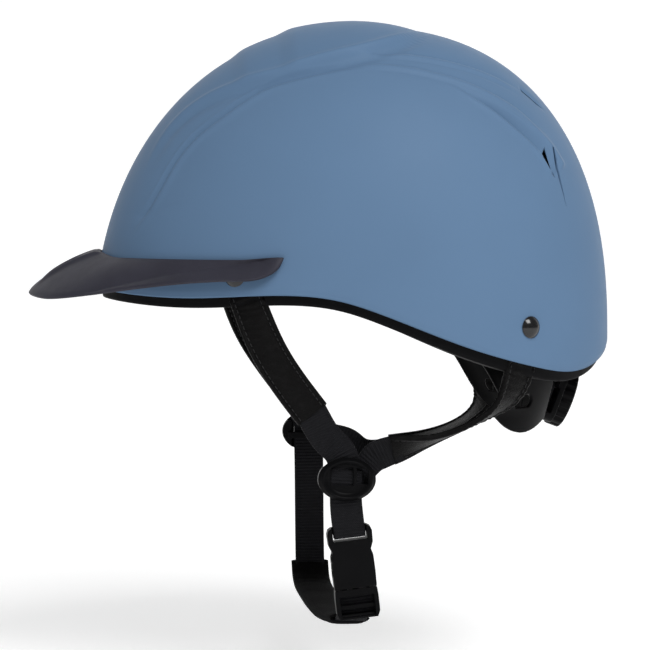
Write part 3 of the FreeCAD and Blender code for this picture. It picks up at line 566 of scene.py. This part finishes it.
def build_shell():
    columns, rows, inner_rows = ((860, 250, 40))
    base, normal = shell_sheet(columns, rows, 0.0)
    edge = np.repeat(1 - smooth(np.arange(rows) / 4), columns)
    outer = base + normal * (relief(base) - 0.5 * edge)[:, None]
    inner, inner_normal = shell_sheet(columns, inner_rows, SHELL_WALL)
    inner[:columns] += inner_normal[:columns] * 0.25
    crown = form(np.array([0.0]), np.array([math.pi / 2]))[0]
    top_height = relief(crown[None])[0]
    verts = np.vstack([outer, inner, crown + [0, 0, top_height], crown - [0, 0, SHELL_WALL]])
    count = rows * columns
    faces = grid_faces(rows, columns, wrap=True)
    faces += [tuple(v + count for v in reversed(f)) for f in grid_faces(inner_rows, columns, wrap=True)]
    last, inner_last = count - columns, count + (inner_rows - 1) * columns
    for c in range(columns):
        n = (c + 1) % columns
        faces.append((last + c, last + n, len(verts) - 2))
        faces.append((inner_last + n, inner_last + c, len(verts) - 1))
        faces.append((count + c, count + n, n, c))
    shell = new_object("shell", verts, faces, PAINT)
    fix_normals(shell)
    cutters = shell_cutters()
    for i, cutter in enumerate(cutters):
        cut = shell.modifiers.new(f"cut{i}", "BOOLEAN")
        cut.object, cut.operation, cut.solver = cutter, "DIFFERENCE", "EXACT"
    apply_modifiers(shell)
    for cutter in cutters:
        bpy.data.objects.remove(cutter)
    return dress(shell, "helmet", PAINT, ("outer_shell",))


def prism(name, outline, direction, before, after):
    """A closed prism from an outline of points, reaching before and after it along direction."""
    direction = np.asarray(direction, float) / np.linalg.norm(direction)
    front = [np.asarray(p) + direction * before for p in outline]
    back = [np.asarray(p) - direction * after for p in outline]
    n = len(outline)
    faces = [tuple(range(n)), tuple(reversed(range(n, 2 * n)))]
    faces += [(i, i + n, (i + 1) % n + n, (i + 1) % n) for i in range(n)]
    mesh = bpy.data.meshes.new(name)
    mesh.from_pydata([tuple(v * MM) for v in front + back], [], faces)
    obj = bpy.data.objects.new(name, mesh)
    bpy.context.scene.collection.objects.link(obj)
    return fix_normals(obj)


VENT_CUTS = (       # name, outline of (y, z) points on the shell, and depth
    ("mouth", ((91.4, 79.4), (96.2, 64.0), (93.0, 69.0), (89.6, 74.6)), 16),
    ("slit", ((82.6, 109.4), (94.6, 99.6), (84.4, 106.6)), 16),
    ("crease", ((95.6, 80.0), (96.4, 79.6), (99.4, 64.8), (102.0, 49.4), (98.4, 64.0)), 2.2),
)


def shell_cutters():
    """Vents: a triangular mouth at the end of each scoop, a slit above it and a shallow crease behind it."""
    cutters = []
    for side in (1, -1):
        for name, outline, depth in VENT_CUTS:
            points = [on_side(y, z) * np.array([side, 1, 1]) for y, z in outline]
            cutters.append(prism(name, points, (side, 0.12, 0.06), 9, depth))
    return cutters


# ---------------------------------------------------------------- edge trim
def build_trim():
    """A soft strip round the liner's foot: rounded outside, with a fine bead along its lower edge."""
    columns, wall = 360, 1.6
    alpha = np.linspace(0, 2 * math.pi, columns, endpoint=False)
    profile = [(-0.3, 3.0), (0.0, 2.4), (0.0, -3.6), (0.1, -4.3), (0.45, -4.85), (1.1, -5.05), (2.2, -5.0),
               (7.6, -4.75), (8.3, -4.5), (8.4, -4.0), (8.1, -3.55), (2.0, -3.5), (1.6, -3.0), (1.4, 3.0)]
    rings = []
    for inset, lift in profile:
        rise = foot_rise(alpha, lift)
        p = form(alpha, rise)
        inward = p * [-1, -1, 0]
        inward /= np.linalg.norm(inward, axis=1)[:, None]
        rings.append(p + inward * (TRIM_INSET - wall + inset))
    verts = np.vstack(rings)
    faces = grid_faces(len(rings), columns, wrap=True)
    last = (len(rings) - 1) * columns
    faces += [(last + c, last + (c + 1) % columns, (c + 1) % columns, c) for c in range(columns)]
    trim = new_object("edge_strip", verts, faces, RUBBER)
    fix_normals(trim)
    return dress(trim, "helmet", RUBBER, ("edge_trim",))


# ---------------------------------------------------------------- peak
def peak_root(s):
    """The brim's upper edge, close to the shell; s runs from -1 at the right end to 1 at the left."""
    z = 24.3 + 4.4 * (1 - smooth(np.abs(s) / 0.35)) + 1.4 * smooth((np.abs(s) - 0.85) / 0.15)
    p = form(np.abs(s) * PEAK_END, rise_at(z), -PEAK_GAP - PEAK_THICK)
    p[..., 2] = z
    p[..., 0] = np.copysign(p[..., 0], s)
    return p


def peak_edge(s):
    """The brim's free edge, which reaches forward most in the middle."""
    a = np.abs(s)
    alpha = a * PEAK_END
    z = 5.2 - 1.4 * smooth(a / 0.25) + 10.4 * smooth((a - 0.2) / 0.65)
    p = form(alpha, rise_at(z), -PEAK_GAP - PEAK_THICK - PEAK_FLARE)
    reach = PEAK_REACH * (1 - smooth(a / 0.92)) ** 0.8
    heading = alpha * 0.55
    p = p + np.stack([np.sin(heading), -np.cos(heading), heading * 0], -1) * reach[..., None]
    p[..., 2] = z
    p[..., 0] = np.copysign(p[..., 0], s)
    return p


def build_peak():
    """The brim: two raised ribs beside a sunk middle, and wings with a long crease and rounded ends."""
    columns, rows = 241, 44
    s = np.linspace(-1, 1, columns)
    a = np.abs(s)
    root, edge = peak_root(s), peak_edge(s)
    span = edge - root
    length = np.linalg.norm(span, axis=1)[:, None]
    direction = span / length
    outward = root * [1, 1, 0]
    outward /= np.linalg.norm(outward, axis=1)[:, None]
    up = outward * 0.8 + [0, 0, 1]
    up = up - direction * (up * direction).sum(1)[:, None]
    up /= np.linalg.norm(up, axis=1)[:, None]
    reach = np.sqrt(np.clip(1 - (np.clip(a - 0.885, 0, 1) / 0.115) ** 2, 0.0004, 1))
    crease = 0.95 - 0.95 * np.clip((a - 0.45) / 0.5, 0, 1)
    crease_depth = 2.5 * smooth((a - 0.34) / 0.25) * (1 - smooth((a - 0.93) / 0.06))
    thin_end = np.sqrt(np.clip((1 - a) / 0.02, 0.05, 1))
    top, bottom = [], []
    for u in (1 - np.cos(np.linspace(0, math.pi, rows))) / 2:
        p = root + span * (u * reach)[:, None]
        arch = 0.06 * length[:, 0] * 4 * u * (1 - u) * reach
        x = np.abs(p[:, 0])
        rib_at = 9.0 + 13.0 * (1 - u)
        rib = 1.6 * hump(x, rib_at, 2.2) * smooth(u / 0.1) * (1 - smooth((u - 0.6) / 0.36))
        sunk = -1.2 * (1 - smooth((x - rib_at + 3.5) / 3.0)) * (1 - smooth((u - 0.5) / 0.4))
        valley = np.minimum(u / np.maximum(crease, 0.05), (1 - u) / np.maximum(1 - crease, 0.05))
        fold = -crease_depth * valley * reach
        thick = PEAK_THICK * (0.35 + 0.65 * math.sqrt(min(16 * u * (1 - u), 1))) * thin_end
        top.append(p + up * (arch + rib + sunk + fold - (PEAK_THICK - thick) / 2)[:, None])
        bottom.append(p + up * (arch + sunk * 0.6 + fold * 0.6 - (PEAK_THICK + thick) / 2)[:, None])
    ring = 2 * rows
    faces = grid_faces(ring, columns)
    last = (ring - 1) * columns
    faces += [(last + c, last + c + 1, c + 1, c) for c in range(columns - 1)]
    faces += [tuple(r * columns + column for r in range(ring)) for column in (0, columns - 1)]
    peak = new_object("brim", np.vstack(top + bottom[::-1]), faces, PEAK)
    fix_normals(peak)
    return dress(subdivided(peak), "helmet", PEAK, ("peak",))


# ---------------------------------------------------------------- straps
def against_shell(y, z, lean):
    """A sleeve's station just inside the shell's wall."""
    n = side_normal(y, z)
    lean = np.asarray(lean, float)
    across = lean - n * (lean @ n)
    return on_side(y, z) - n * STRAP_INSET, across / np.linalg.norm(across), SLEEVE_WIDTH


# A route is a list of stations, in mm: centre, direction across the strap, and width.
SLEEVE_WIDTH, WEB_WIDTH = 18.0, 16.0
SLEEVE_THICK, WEB_THICK = 3.2, 1.5
SLIDER_CENTRE = np.array([75.0, -11, -86])
RIGHT_SLIDER_CENTRE = np.array([75.0, -19, -76.5])      # seen from the left, like every right-hand route
BUCKLE_TOP = np.array([74.0, -10, -109.5])
BUCKLE_TILT = math.radians(6.6)
FEMALE_LENGTH, MALE_BASE_LENGTH = 31.4, 15.0
RIB_PITCH = 1.7
STITCH_SHARE = 0.72         # of the sleeve's half width
STITCH_START, STITCH_PITCH, STITCH_LENGTH, STITCH_RADIUS = 12.0, 2.9, 2.1, 0.28
STITCH_LIFT = SLEEVE_THICK / 2 * 0.66


def buckle_point(x, y, z):
    """A point given in the buckle's own tilted frame."""
    c, s = math.cos(BUCKLE_TILT), math.sin(BUCKLE_TILT)
    return BUCKLE_TOP + np.array([x, y * c - z * s, y * s + z * c])


def front_strap():
    lean = (0, -0.94, -0.3)
    return [
        against_shell(-70, 24, lean),
        against_shell(*FRONT_RIVET, lean),
        against_shell(-62.5, 4, lean),
        ((87.0, -51, -20), (0, -0.88, -0.47), SLEEVE_WIDTH),
        ((79.5, -28.5, -53), (0, -0.86, -0.5), SLEEVE_WIDTH),
    ]


def rear_strap(right=False):
    lean = (0.6, -0.8, 0)
    tail = [
        ((81, 71, -43), (0.66, -0.74, 0.1), SLEEVE_WIDTH),
        ((79.5, 58, -55), (0.97, -0.2, 0.14), SLEEVE_WIDTH),
        ((77.5, 32, -66.5), (0.95, 0, 0.3), SLEEVE_WIDTH),
        ((76, 12, -71.5), (0.5, -0.1, 0.86), SLEEVE_WIDTH),
    ]
    if right:
        tail = [
            ((78.5, 80, -47.5), (0.66, -0.74, 0.1), SLEEVE_WIDTH),
            ((79.5, 76, -65.5), (0.97, -0.2, 0.14), SLEEVE_WIDTH),
            ((78, 50, -80), (0.95, 0, 0.3), SLEEVE_WIDTH),
            ((76.5, 28, -86), (0.7, 0, 0.7), SLEEVE_WIDTH),
        ]
    return [
        against_shell(81, -2, lean),
        against_shell(*REAR_RIVET, lean),
        against_shell(78, -27, lean),
    ] + tail


def front_web(right=False):
    end, across, _ = front_strap()[-1]
    centre = RIGHT_SLIDER_CENTRE if right else SLIDER_CENTRE
    stations = [
        (np.array(end) + [0.9, -2.8, 5.0], across, WEB_WIDTH),
        (np.array(end) + [0, 0, 0], across, WEB_WIDTH),
        (centre + [3.0, -9.5, 20], (0, -0.87, -0.49), WEB_WIDTH),
        (centre + [1.85, -3.5, 13.5], (0, -0.95, -0.3), WEB_WIDTH),
        (centre + [1.85, -0.6, 4.6], (0, -1, -0.05), WEB_WIDTH),
    ]
    if right:
        stations.pop(2)
    return stations


def rear_web(right=False):
    end, across, _ = rear_strap(right)[-1]
    if right:
        return [
            (np.array(end) + [0.3, 4.0, 0.6], across, WEB_WIDTH),
            ((75.2, 12, -88), (0.5, 0, 0.86), WEB_WIDTH),
            (RIGHT_SLIDER_CENTRE + [-1.2, 21, -6], (0.1, 0.1, 0.98), WEB_WIDTH),
            (RIGHT_SLIDER_CENTRE + [-1.4, 13.4, -3], (0, 0.3, 0.95), WEB_WIDTH * 0.9),
            (RIGHT_SLIDER_CENTRE + [-0.8, 5.0, -0.5], (0, 0.3, 0.95), WEB_WIDTH * 0.8),
        ]
    return [
        (np.array(end) + [0.3, 4.0, 1.0], across, WEB_WIDTH),
        (SLIDER_CENTRE + [-0.6, 16, 11.5], (0.25, -0.4, 0.88), WEB_WIDTH),
        (SLIDER_CENTRE + [-1.1, 11.5, 7.4], (0, -0.65, 0.76), WEB_WIDTH * 0.85),
        (SLIDER_CENTRE + [-0.7, 5.0, -0.4], (0, -0.7, 0.7), WEB_WIDTH * 0.8),
    ]


def drop_web(x_buckle, x_slider, top):
    """One layer of the loop from the left slider down to the buckle."""
    return [
        (buckle_point(x_buckle, 0, -6.0), (0, -1, 0.08), WEB_WIDTH),
        (buckle_point(x_buckle, 0, -1.2), (0, -1, -0.1), WEB_WIDTH),
        (buckle_point(x_buckle, 0, 4), (0, -1, -0.1), WEB_WIDTH),
        (SLIDER_CENTRE + [x_slider, -0.3, -11], (0, -1, 0), WEB_WIDTH),
        (SLIDER_CENTRE + [x_slider, 0, top], (0, -1, 0), WEB_WIDTH),
    ]


def chin_route(width):
    foot = buckle_point(-5.2, 0, -FEMALE_LENGTH - MALE_BASE_LENGTH + 3.0)
    forward = (0, -1, 0)
    return [
        ((-75, -19, -87.7), forward, width),
        ((-75.5, -18.7, -112), forward, width),
        ((-74.5, -18.5, -141), forward, width),
        ((-66, -18.5, -155.5), forward, width),
        ((-45, -17.5, -160.5), forward, width),
        ((-5, -15, -162.5), forward, width),
        ((35, -11, -162), forward, width),
        ((58, -7.5, -159.5), forward, width),
        (foot, (0, -1, -0.1), width),
    ]


class Track:
    """Frames along a strap's route: centre, direction across, outward normal, width and distance run."""

    def __init__(self, stations, step_mm):
        centres = np.array([np.asarray(s[0], float) for s in stations])
        across = np.array([np.asarray(s[1], float) / np.linalg.norm(s[1]) for s in stations])
        widths = np.array([s[2] for s in stations], float)
        length = np.linalg.norm(np.diff(centres, axis=0), axis=1).sum()
        count = max(8, int(length / step_mm))
        dense = natural_spline(np.hstack([centres, across * 20, widths[:, None]]), count)
        self.centre, self.width = dense[:, :3], dense[:, 6]
        along = np.gradient(self.centre, axis=0)
        self.along = along / np.linalg.norm(along, axis=1)[:, None]
        a = dense[:, 3:6]
        a = a - self.along * (a * self.along).sum(1)[:, None]
        self.across = a / np.linalg.norm(a, axis=1)[:, None]
        self.normal = np.cross(self.along, self.across)
        self.run = np.concatenate([[0], np.cumsum(np.linalg.norm(np.diff(self.centre, axis=0), axis=1))])

    def __len__(self):
        return len(self.run)

    def at(self, i, across_share, lift):
        return self.centre[i] + self.across[i] * (across_share * self.width[i] / 2) + self.normal[i] * lift


def strap_mesh(name, stations, profile, step_mm, material, ripple, mirror=False):
    """Sweeps a closed profile of (share of half width, height) along a route."""
    track = Track(stations, step_mm)
    ring = len(profile)
    verts, uvs = [], []
    for i in range(len(track)):
        for share, height in profile:
            lift = height * (1 + ripple(track.run[i], share))
            p = track.at(i, share, lift)
            verts.append(p * [-1, 1, 1] if mirror else p)
            uvs.append((share * track.width[i] / 2 * MM, track.run[i] * MM))
    faces = grid_faces(len(track), ring, wrap=True)
    faces.append(tuple(range(ring)))
    faces.append(tuple((len(track) - 1) * ring + k for k in range(ring)))
    obj = new_object(name, verts, faces, material)
    layer = obj.data.uv_layers.new(name="UVMap")
    for loop in obj.data.loops:
        layer.data[loop.index].uv = uvs[loop.vertex_index]
    return fix_normals(obj), track


def both_halves(quarter):
    """A closed profile from its upper left quarter."""
    upper = quarter + [(-s, v) for s, v in reversed(quarter[:-1])]
    return upper + [(s, -v) for s, v in reversed(upper[1:-1])]


def web_profile(thick):
    h = thick / 2
    return both_halves([(-1.0, 0.0), (-0.985, 0.7 * h), (-0.93, h), (-0.88, h * 0.86), (-0.6, h), (-0.3, h),
                        (0, h)])


def ribs(run, share):
    """The webbing's cross ribs, with a finer weave over them."""
    angle = 2 * math.pi * run / RIB_PITCH
    if abs(share) > 0.9:
        return 0.05 * math.sin(angle * 2)
    return 0.2 * math.sin(angle) + 0.05 * math.sin(angle * 2 + share * 9)


def web(name, stations, mirror=False, thick=WEB_THICK):
    profile = web_profile(thick)
    obj, _ = strap_mesh(name, stations, profile, 0.24, WEBBING, ribs, mirror)
    return obj


def sleeve_profile():
    """Leather folded round a core: a flat middle between two raised, stitched edges."""
    h = SLEEVE_THICK / 2
    return both_halves([(-1.0, 0.0), (-0.99, 0.5 * h), (-0.95, 0.88 * h), (-0.88, h), (-0.81, 0.92 * h),
                        (-0.76, 0.62 * h), (-0.7, 0.55 * h), (-0.62, 0.66 * h), (-0.4, 0.8 * h),
                        (0, 0.86 * h)])


def crease_ripple(bends):
    """Cross creases where the leather bends; bends are distances along the strap."""
    def ripple(run, share):
        total = 0.0
        for place, reach, strength in bends:
            near = math.exp(-((run - place) / reach) ** 2)
            drift = 1.3 * math.sin(run * 0.7 + share * 3)
            total += strength * near * math.sin(run * 1.9 + 2.5 * share + drift)
        return total
    return ripple


def stitch_rows(name, track, lift, mirror):
    """Two rows of separate stitches that lie along a sleeve's edges."""
    verts, faces = [], []
    sides = 6
    for share in (-STITCH_SHARE, STITCH_SHARE):
        start = STITCH_START
        while start + STITCH_LENGTH < track.run[-1] - 1.0:
            base = len(verts)
            for f, r in ((0, 0.25), (0.15, 0.85), (0.5, 1.0), (0.85, 0.85), (1, 0.25)):
                at = start + f * STITCH_LENGTH
                i = int(np.clip(np.searchsorted(track.run, at), 1, len(track) - 1))
                sag = -STITCH_RADIUS * (2 * f - 1) ** 2 * 0.9
                centre = track.at(i, share, lift + sag)
                for a in range(sides):
                    angle = 2 * math.pi * a / sides
                    around = track.across[i] * math.cos(angle) + track.normal[i] * math.sin(angle)
                    p = centre + around * STITCH_RADIUS * r
                    verts.append(p * [-1, 1, 1] if mirror else p)
            faces += [tuple(base + v for v in f) for f in grid_faces(5, sides, wrap=True)]
            faces.append(tuple(base + a for a in range(sides)))
            faces.append(tuple(base + 4 * sides + a for a in range(sides)))
            start += STITCH_PITCH
    obj = new_object(name, verts, faces, THREAD)
    fix_normals(obj)
    return dress(obj, "helmet", THREAD)


def build_sleeves():
    front_bends = [(22, 9, 0.16), (45, 8, 0.08)]        # distance along the strap, reach and strength
    rear_bends = [(27, 9, 0.2), (44, 10, 0.16), (62, 12, 0.1)]
    for side, mirror in (("left", False), ("right", True)):
        for place, route, bends in (("front", front_strap(), front_bends),
                                    ("rear", rear_strap(mirror), rear_bends)):
            obj, track = strap_mesh(f"{side}_{place}_leather", route, sleeve_profile(), 0.5,
                                    LEATHER, crease_ripple(bends), mirror)
            dress(obj, "helmet", LEATHER, (f"{side}_{place}_sleeve",))
            stitch_rows(f"{side}_{place}_stitches", track, STITCH_LIFT, mirror)
            stitch_rows(f"{side}_{place}_back_stitches", track, -STITCH_LIFT, mirror)


def build_webbing():
    for side, mirror in (("left", False), ("right", True)):
        obj = web(f"{side}_front_web", front_web(mirror), mirror)
        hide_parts(f"{side}_front_webbing")
        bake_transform(obj)
        obj = web(f"{side}_rear_web", rear_web(mirror), mirror)
        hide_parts(f"{side}_rear_webbing")
        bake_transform(obj)
    for name, layer in (("outer", drop_web(2.65, 1.85, 4.5)), ("inner", drop_web(-2.65, 0.15, 7.5))):
        obj = web(f"drop_web_{name}", layer)
        if name == "outer":
            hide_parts("left_drop_webbing")
        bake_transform(obj)
    slot = RIGHT_SLIDER_CENTRE * [-1, 1, 1]
    top = [(slot + [-1.4, 0, z], (0, -1, 0), WEB_WIDTH) for z in (5.0, -4.0)]
    obj = web("chin_web", top + chin_route(WEB_WIDTH))
    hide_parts("chin_webbing")
    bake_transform(obj)
    base = -FEMALE_LENGTH - 0.4
    behind = [(buckle_point(x, 0.3, base - z), (0, -1, -0.1), WEB_WIDTH * 1.13)
              for x, z in ((-3.2, 14.0), (-1.6, 11.0), (-1.2, 7.0), (-1.6, 3.2))]
    back = web("male_web", behind, thick=1.3)
    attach(back, "buckle_male")


def pad_profile(thick):
    """A flattened ring, fuller than an ellipse."""
    h, count = thick / 2, 24
    points = []
    for k in range(count):
        a = 2 * math.pi * k / count
        c, s = math.cos(a), math.sin(a)
        points.append((math.copysign(abs(c) ** 0.55, c), math.copysign(abs(s) ** 0.8, s) * h))
    return points


def build_chin_pad():
    """A soft wrap round the chin strap, gathered a little where it curves, with bound ends."""
    width, thick, step = 20.5, 5.6, 0.6
    route = [((-73.6, -18.5, -148.5), (0, -1, 0), width)] + chin_route(width)[3:8]
    end = Track(route, step).run[-1]

    def ripple(run, share):
        gather = 0.05 * math.sin(run * 0.9 + share * 2.2) * math.exp(-((run - 18) / 9) ** 2)
        seam = -0.22 * math.exp(-((abs(share) - 0.86) / 0.04) ** 2)
        bound = -0.3 * (math.exp(-((run - 3.0) / 0.6) ** 2) + math.exp(-((end - run - 3.0) / 0.6) ** 2))
        rounded = -1.3 * (math.exp(-run / 1.1) + math.exp(-(end - run) / 1.1))
        return gather + seam + bound + rounded + 0.04 * math.sin(run * 0.21 + share)

    pad, _ = strap_mesh("chin_wrap", route, pad_profile(thick), step, KNIT, ripple)
    dress(pad, None, KNIT, ("chin_pad",))
    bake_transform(pad)


# ---------------------------------------------------------------- pads
PAD_VOXEL, PAD_SHRINK = 2.2, 0.9            # mm
PAD_PRESSURE, PAD_CAP = 4.0, 2.0            # the most that a point may move, in mm


def puffed(node, name):
    """A pad that swells under pressure from its CAD solid, capped so that it keeps to its place."""
    obj = softened_copy(node, name, PAD_VOXEL, 6)
    shrink = obj.modifiers.new("shrink", "DISPLACE")
    shrink.strength, shrink.mid_level = -PAD_SHRINK * MM, 0.0
    apply_modifiers(obj)
    start = np.array([v.co for v in obj.data.vertices])
    cloth = obj.modifiers.new("cloth", "CLOTH")
    cloth.settings.use_pressure = True
    cloth.settings.uniform_pressure_force = PAD_PRESSURE
    cloth.settings.effector_weights.gravity = 0
    cloth.settings.quality = 5
    for number in range(1, 21):
        bpy.context.scene.frame_set(number)
    apply_modifiers(obj)
    bpy.context.scene.frame_set(1)
    moved = np.array([v.co for v in obj.data.vertices]) - start
    length = np.linalg.norm(moved, axis=1)
    moved *= (np.minimum(length, PAD_CAP * MM) / np.maximum(length, 1e-9))[:, None]
    obj.data.vertices.foreach_set("co", (start + moved).ravel())
    return subdivided(obj)


def sew_channels(obj, lines, depth_mm, width_mm):
    """Presses seams into a pad; each line is a function of the points, in mm, that is zero on the seam."""
    co = points_mm(obj)
    normals = np.array([v.normal for v in obj.data.vertices])
    push = np.zeros(len(co))
    for line in lines:
        push = np.maximum(push, np.exp(-(line(co) / width_mm) ** 2))
    move_points(obj, co - normals * (push * depth_mm)[:, None])


def build_pads():
    brow = puffed("brow_pad", "brow_cushion")
    columns = [lambda p, x=x: p[:, 0] - x for x in (-54, -36, -18, 0, 18, 36, 54)]
    sew_channels(brow, columns, 1.3, 1.3)
    crown = puffed("crown_pad", "crown_cushion")
    cross = [lambda p: np.abs(p[:, 0]) - 15, lambda p: p[:, 1] - 20, lambda p: p[:, 1] + 10]
    sew_channels(crown, cross, 1.2, 1.3)
    pads = [(brow, "brow_pad"), (crown, "crown_pad")]
    for side in ("left", "right"):
        pad = puffed(f"{side}_side_pad", f"{side}_cheek_cushion")
        sew_channels(pad, [lambda p: p[:, 1] + 3, lambda p: p[:, 2] - 12], 1.2, 1.3)
        pads.append((pad, f"{side}_side_pad"))
    for pad, node in pads:
        dress(pad, "helmet", KNIT, (node,))
    nape = puffed("nape_pad", "nape_cushion")
    sew_channels(nape, [lambda p: np.abs(p[:, 0]) - 11], 1.1, 1.2)
    dress(nape, "cradle", KNIT, ("nape_pad",))


# ---------------------------------------------------------------- hardware
SLIDER_HALF_WIDTH, SLIDER_HALF_HEIGHT = 14.5, 11.0
WING_SWEEP, WING_FADE = 9.5, 24.0           # how far a wing's edge is drawn back, and over how much of it


def dished(divider, centre, side):
    """Rounds a strap divider's outline and sinks the middle of its face, which leaves a raised rim."""
    co = points_mm(divider)
    place = centre * [side, 1, 1]
    local = (co - place) * [side, 1, 1]
    beyond = np.maximum(np.hypot(local[:, 1] / SLIDER_HALF_WIDTH, local[:, 2] / SLIDER_HALF_HEIGHT), 1)
    local[:, 1:] /= beyond[:, None]
    co[:, 1:] = local[:, 1:] + place[1:]
    ring = np.hypot(local[:, 1] / SLIDER_HALF_WIDTH, local[:, 2] / SLIDER_HALF_HEIGHT)
    front = smooth((local[:, 0] - 1.5) / 1.0)
    sink = 1.5 * (1 - smooth((ring - 0.6) / 0.22)) - 0.5 * hump(ring, 0.84, 0.07)
    co[:, 0] -= side * front * sink
    move_points(divider, co)


def swept(wing, lowest):
    """Draws the front edge of a nape wing backwards, from the rim down to a lowest height in mm."""
    co = points_mm(wing)
    edge = 48.0 + np.clip(-27 - co[:, 2], 0, 40) * 0.58
    near_edge = 1 - smooth((co[:, 1] - edge) / WING_FADE)
    low = smooth((-16 - co[:, 2]) / 12) * (1 - smooth((lowest - co[:, 2]) / 12))
    co[:, 1] += WING_SWEEP * near_edge * low
    move_points(wing, co)


def build_hardware():
    for name, centre, side in (("left", SLIDER_CENTRE, 1), ("right", RIGHT_SLIDER_CENTRE, -1)):
        slider = f"{name}_slider"
        divider = moulded(slider, f"{name}_divider", slider, BUCKLE, 0.26)
        dished(divider, centre, side)
    for node, name, body, voxel in (
            ("buckle_female", "buckle_socket", "helmet", 0.28),
            ("buckle_male", "buckle_plug", "buckle_male", 0.28),
            ("front_prong", "front_release", "front_prong", 0.22),
            ("rear_prong", "rear_release", "rear_prong", 0.22)):
        moulded(node, name, body, BUCKLE, voxel)
    for side, lowest in (("left", -46), ("right", -80)):
        wing = moulded(f"{side}_nape_arm", f"{side}_wing", f"{side}_arm", CRADLE, 0.5)
        swept(wing, lowest)
    for node, name, body, voxel in (
            ("nape_cover", "dial_cover", "cradle", 0.35), ("nape_housing", "dial_back", "cradle", 0.35),
            ("dial", "dial_knob", "dial", 0.32), ("nape_arm_clips", "wing_clips", "helmet", 0.4)):
        moulded(node, name, body, CRADLE, voxel)


def dress_cad():
    """Materials for the CAD nodes that stay in view."""
    looks = {"impact_liner": FOAM, "front_rivets": RIVET, "rear_rivets": RIVET, "rivet_washers": STEEL,
             "dial_pinion": CRADLE, "dial_screw": SCREW, "left_rack": CRADLE, "right_rack": CRADLE}
    for node, material in looks.items():
        NODES[node].data.materials.clear()
        NODES[node].data.materials.append(material)


# ---------------------------------------------------------------- studio
BUCKLE_TRAVEL = 0.026       # the floor leaves room for the strap's end when the buckle is open


def build_studio():
    """A pale floor that curves up behind the object, a soft key light from above and a weak fill."""
    floor_z = cad_box[0][2] - BUCKLE_TRAVEL - 0.006
    mesh = bpy.data.meshes.new("floor")
    front, back, top, bend = 3.0, -1.6, 3.0, 0.8
    path = [(front, 0.0)] + [(back + bend - bend * math.sin(a), bend - bend * math.cos(a))
                             for a in np.linspace(0, math.pi / 2, 13)] + [(back, top)]
    verts = [(x, y, floor_z + z) for y in (-4.0, 4.0) for x, z in path]
    n = len(path)
    mesh.from_pydata(verts, [], [(i, i + 1, n + i + 1, n + i) for i in range(n - 1)])
    floor = bpy.data.objects.new("floor", mesh)
    bpy.context.scene.collection.objects.link(floor)
    mesh.polygons.foreach_set("use_smooth", [True] * len(mesh.polygons))
    pale = Look("floor_pale", (0.86, 0.86, 0.86), 0.9, 0.1)
    pale.tint(pale.ramp(pale.noise(400, 2), 0.4, 0.7, 0, 0.3), (0.84, 0.84, 0.84))
    pale.set("Emission Color", (1, 1, 1, 1)).set("Emission Strength", 0.42)
    mesh.materials.append(pale.material)

    world = bpy.data.worlds.new("studio")
    bpy.context.scene.world = world
    world.use_nodes = True
    world.node_tree.nodes["Background"].inputs["Color"].default_value = (1, 1, 1, 1)
    world.node_tree.nodes["Background"].inputs["Strength"].default_value = 0.26

    def area(name, place, target, size, power):
        light = bpy.data.lights.new(name, "AREA")
        light.shape, light.size, light.energy = "SQUARE", size, power
        obj = bpy.data.objects.new(name, light)
        bpy.context.scene.collection.objects.link(obj)
        obj.location = place
        obj.rotation_euler = (Vector(target) - Vector(place)).to_track_quat("-Z", "Y").to_euler()

    area("key", (1.2, 0.5, 1.35), (0, 0.02, 0.03), 0.9, 27)
    area("front_fill", (1.3, -0.9, 0.6), (0, -0.02, -0.02), 0.8, 1)


CAMERA_AZIMUTH, CAMERA_ELEVATION = math.radians(85.5), math.radians(3.2)
CAMERA_DISTANCE = 1.4
VIEW_WIDTH = 650 / 1.9 * MM             # the image is 650 pixels wide, at 1.9 pixels per mm
CAMERA_TARGET = Vector((0, -0.0158, -0.0132))


def build_camera():
    data = bpy.data.cameras.new("camera")
    data.sensor_width = 36.0
    data.lens = data.sensor_width * CAMERA_DISTANCE / VIEW_WIDTH
    camera = bpy.data.objects.new("camera", data)
    bpy.context.scene.collection.objects.link(camera)
    a, e = CAMERA_AZIMUTH, CAMERA_ELEVATION
    back = Vector((math.sin(a) * math.cos(e), -math.cos(a) * math.cos(e), math.sin(e)))
    camera.location = CAMERA_TARGET + back * CAMERA_DISTANCE
    camera.rotation_euler = (-back).to_track_quat("-Z", "Y").to_euler()
    bpy.context.scene.camera = camera
    bpy.context.scene.view_settings.view_transform = "Standard"


build_shell()
build_trim()
build_peak()
build_sleeves()
build_webbing()
build_chin_pad()
build_pads()
build_hardware()
dress_cad()
build_studio()
build_camera()
